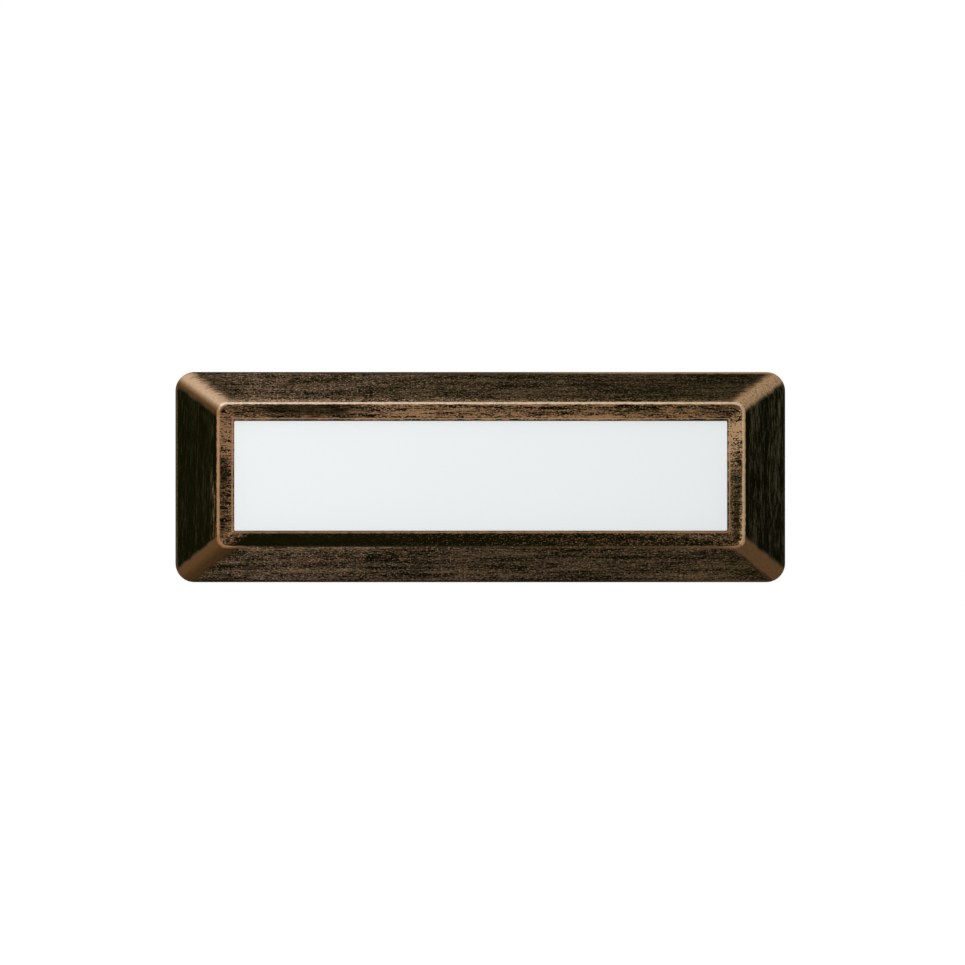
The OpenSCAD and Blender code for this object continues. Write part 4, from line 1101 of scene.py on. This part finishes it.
# %% Sprayed coats
CHIPS = 12
FIRST_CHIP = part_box("led_board")[0].x + 12 * MM
CHIP_PITCH = 2 * abs(FIRST_CHIP) / (CHIPS - 1)
COATS = {
    "housing_grey": ((0.23, 0.24, 0.25), 0.42, 0.9, 0.03),
    "white_tray": ((0.84, 0.84, 0.82), 0.2, 1.4, 0.012),
    "white_board": ((0.84, 0.85, 0.83), 0.3, 0.6, 0.004),
    "green_board": ((0.02, 0.13, 0.035), 0.3, 0.6, 0.004),
    "coil_and_parts": ((0.5, 0.3, 0.02), 0.35, 0.8, 0.01),
    "yellow_chip": ((0.78, 0.6, 0.12), 0.3, 0.3, 0.004),
}


def copper_areas(tree, spot):
    """1 on the hair lines between the copper areas of a board: one at each chip, one along the middle."""
    place = add(tree, "SeparateXYZ", {0: spot}).outputs
    from_chip = sums(tree, "PINGPONG", sums(tree, "SUBTRACT", place["X"], FIRST_CHIP), CHIP_PITCH / 2)
    nearest = sums(tree, "MINIMUM", from_chip, sums(tree, "ABSOLUTE", place["Z"]))
    return remap(tree, nearest, 0.3 * MM, 0.2 * MM)


def sprayed(name, colour, gloss, peel_size, peel_depth):
    """A sprayed coat; the size and depth of its orange peel are in millimetres."""
    tree, shader, spot = new_material(name)
    peel = use(tree, blotches, spot, Size=peel_size * MM, Seed=1.0, Spread=0.3)
    drift = use(tree, blotches, spot, Size=30 * MM, Seed=8.0, Spread=0.25)
    if name.endswith("board"):
        dark = scaled(tree, copper_areas(tree, spot), 0.0, 0.7)
    else:
        specks = use(tree, grains, spot, Length=0.7 * MM, Width=0.7 * MM, Seed=6.0)
        dark = scaled(tree, specks, 0.0, 0.45)
    body = mix(tree, drift, shade(colour, 0.9), shade(colour, 1.05))
    wire(tree, shader, Base_Color=mix(tree, dark, body, shade(colour, 0.6)),
         Roughness=scaled(tree, drift, gloss - 0.06, gloss + 0.08))
    emboss(tree, shader, peel, peel_depth * MM)


for slot, values in COATS.items():
    sprayed(slot, *values)
print("sprayed finishes", len(COATS))

# %% [markdown]
# ### Earth wire
# The earth lead is green with a yellow stripe above and one below. The lead runs almost level, so the parts
# of its skin that face up or down make stripes that follow it.

# %% Earth wire
WIRE_GREEN = (0.03, 0.3, 0.03, 1)
WIRE_YELLOW = (0.72, 0.6, 0.03, 1)


def earth_wire():
    """Extruded sheath in green and yellow."""
    tree, shader, spot = new_material("green_wire")
    facing = add(tree, "SeparateXYZ", {0: add(tree, "NewGeometry").outputs["Normal"]}).outputs
    stripe = remap(tree, sums(tree, "ABSOLUTE", facing["Z"]), 0.62, 0.7)
    drift = use(tree, blotches, spot, Size=12 * MM, Seed=3.0, Spread=0.25)
    wire(tree, shader, Base_Color=mix(tree, stripe, WIRE_GREEN, WIRE_YELLOW),
         Roughness=scaled(tree, drift, 0.27, 0.38))


earth_wire()
print("finish green_wire")

# %% [markdown]
# ## Dressing the pieces
# The record names a finish for every piece of the construction. Each keeps its mesh and gets its finish.

# %% Give every piece its finish


def dress(piece, slot):
    """Gives a piece one finish all over."""
    piece.data.materials.clear()
    piece.data.materials.append(finishes[slot])


for part in frame["record"]["subparts"]:
    dress(nodes[part["node"]], part["material_slot"])
dress(cast_frame, "antique_copper")
dress(opal_plate, "opal")
dress(foam_seal, "foam")

# %% [markdown]
# ## Camera
# The photograph was taken from straight ahead with a fairly long lens, a little left of and below the
# middle, and its frame was then moved over the light. A camera that looks along the wall's normal with a
# small shift does the same, and keeps the four sides parallel.

# %% Camera
EYE = Vector((-0.018, -1.086, -0.045))
LENS = 85
SENSOR = 36
PHOTO = 965
CENTRE = Vector((480.2, 477.3))
focal = LENS / SENSOR * PHOTO
distance = -EYE.y
view = bpy.data.cameras.new("camera")
view.lens = LENS
view.sensor_width = SENSOR
view.shift_x = ((PHOTO / 2 - CENTRE.x) - focal * EYE.x / distance) / PHOTO
view.shift_y = ((CENTRE.y - PHOTO / 2) - focal * EYE.z / distance) / PHOTO
camera = put("camera", view)
camera.location = EYE
camera.rotation_euler = (math.radians(90), 0, 0)
bpy.context.scene.camera = camera
print("shift", round(view.shift_x, 4), round(view.shift_y, 4))

# %% [markdown]
# ## Light
# A dim even sky fills the shadows, and one large soft lamp stands high at the left, in front. Together they
# give a white surface that faces the camera a level of about one, so colours come out as written. Rays from
# the camera and those mirrored by glossy pieces see a plain white room instead of the dim sky.

# %% Sky and lamp
SKY = 0.45
LAMP_POWER = 25
LAMP_SIZE = 1.2
LAMP_PLACE = Vector((-0.7, -1.2, 1.1))


def seen_directly(tree):
    """1 for rays from the camera and for mirrored and refracted rays, else 0."""
    path = add(tree, "LightPath").outputs
    return most(tree, path["Is Camera Ray"], path["Is Glossy Ray"], path["Is Transmission Ray"])


world = bpy.data.worlds.new("sky")
world.use_nodes = True
sky = world.node_tree
background = sky.nodes["Background"]
background.inputs["Color"].default_value = (1, 1, 1, 1)
fill(sky, background.inputs["Strength"], scaled(sky, seen_directly(sky), SKY, 1.0))
bpy.context.scene.world = world
lamp = bpy.data.lights.new("soft_lamp", "AREA")
lamp.energy = LAMP_POWER
lamp.size = LAMP_SIZE
soft_lamp = put("soft_lamp", lamp)
soft_lamp.location = LAMP_PLACE
soft_lamp.rotation_euler = (-LAMP_PLACE).to_track_quat("-Z", "Y").to_euler()
print("lamp at", [round(v, 2) for v in LAMP_PLACE])

# %% [markdown]
# ## Floor
# A pale floor lies well below the light. It takes shadows as an ordinary surface does, and adds a glow for
# the camera alone, so it looks white without sending more light to the object.

# %% Floor
FLOOR_Z = -0.4
FLOOR_SIZE = 12.0
FLOOR_CELLS = 24
GLOW = (0.6, 1.6, 0.5, 0.75)


def floor_mesh():
    """A large flat sheet."""
    skin = bmesh.new()
    bmesh.ops.create_grid(skin, x_segments=FLOOR_CELLS, y_segments=FLOOR_CELLS, size=FLOOR_SIZE)
    for vert in skin.verts:
        vert.co.z = FLOOR_Z
    return smooth_mesh(skin, "floor", 40)


def paper():
    """Pale paper that looks white to the camera, and keeps its shadows near the light."""
    tree, shader, spot = new_material("paper")
    away = add(tree, "VectorMath", {0: spot}, operation="LENGTH").outputs["Value"]
    glow = remap(tree, away, *GLOW)
    fibre = use(tree, blotches, spot, Size=40 * MM, Seed=2.0, Spread=0.3)
    wire(tree, shader, Base_Color=mix(tree, fibre, (0.8, 0.8, 0.8, 1), (0.78, 0.78, 0.78, 1)),
         Roughness=0.9, Specular_IOR_Level=0.0, Emission_Color=(1, 1, 1, 1),
         Emission_Strength=times(tree, seen_directly(tree), glow))


floor = put("floor", floor_mesh())
paper()
dress(floor, "paper")
print("floor at", FLOOR_Z)

# %% [markdown]
# ## Finish
# The last cell sets the view transform to Standard.

# %% Finish
bpy.context.scene.view_settings.view_transform = "Standard"
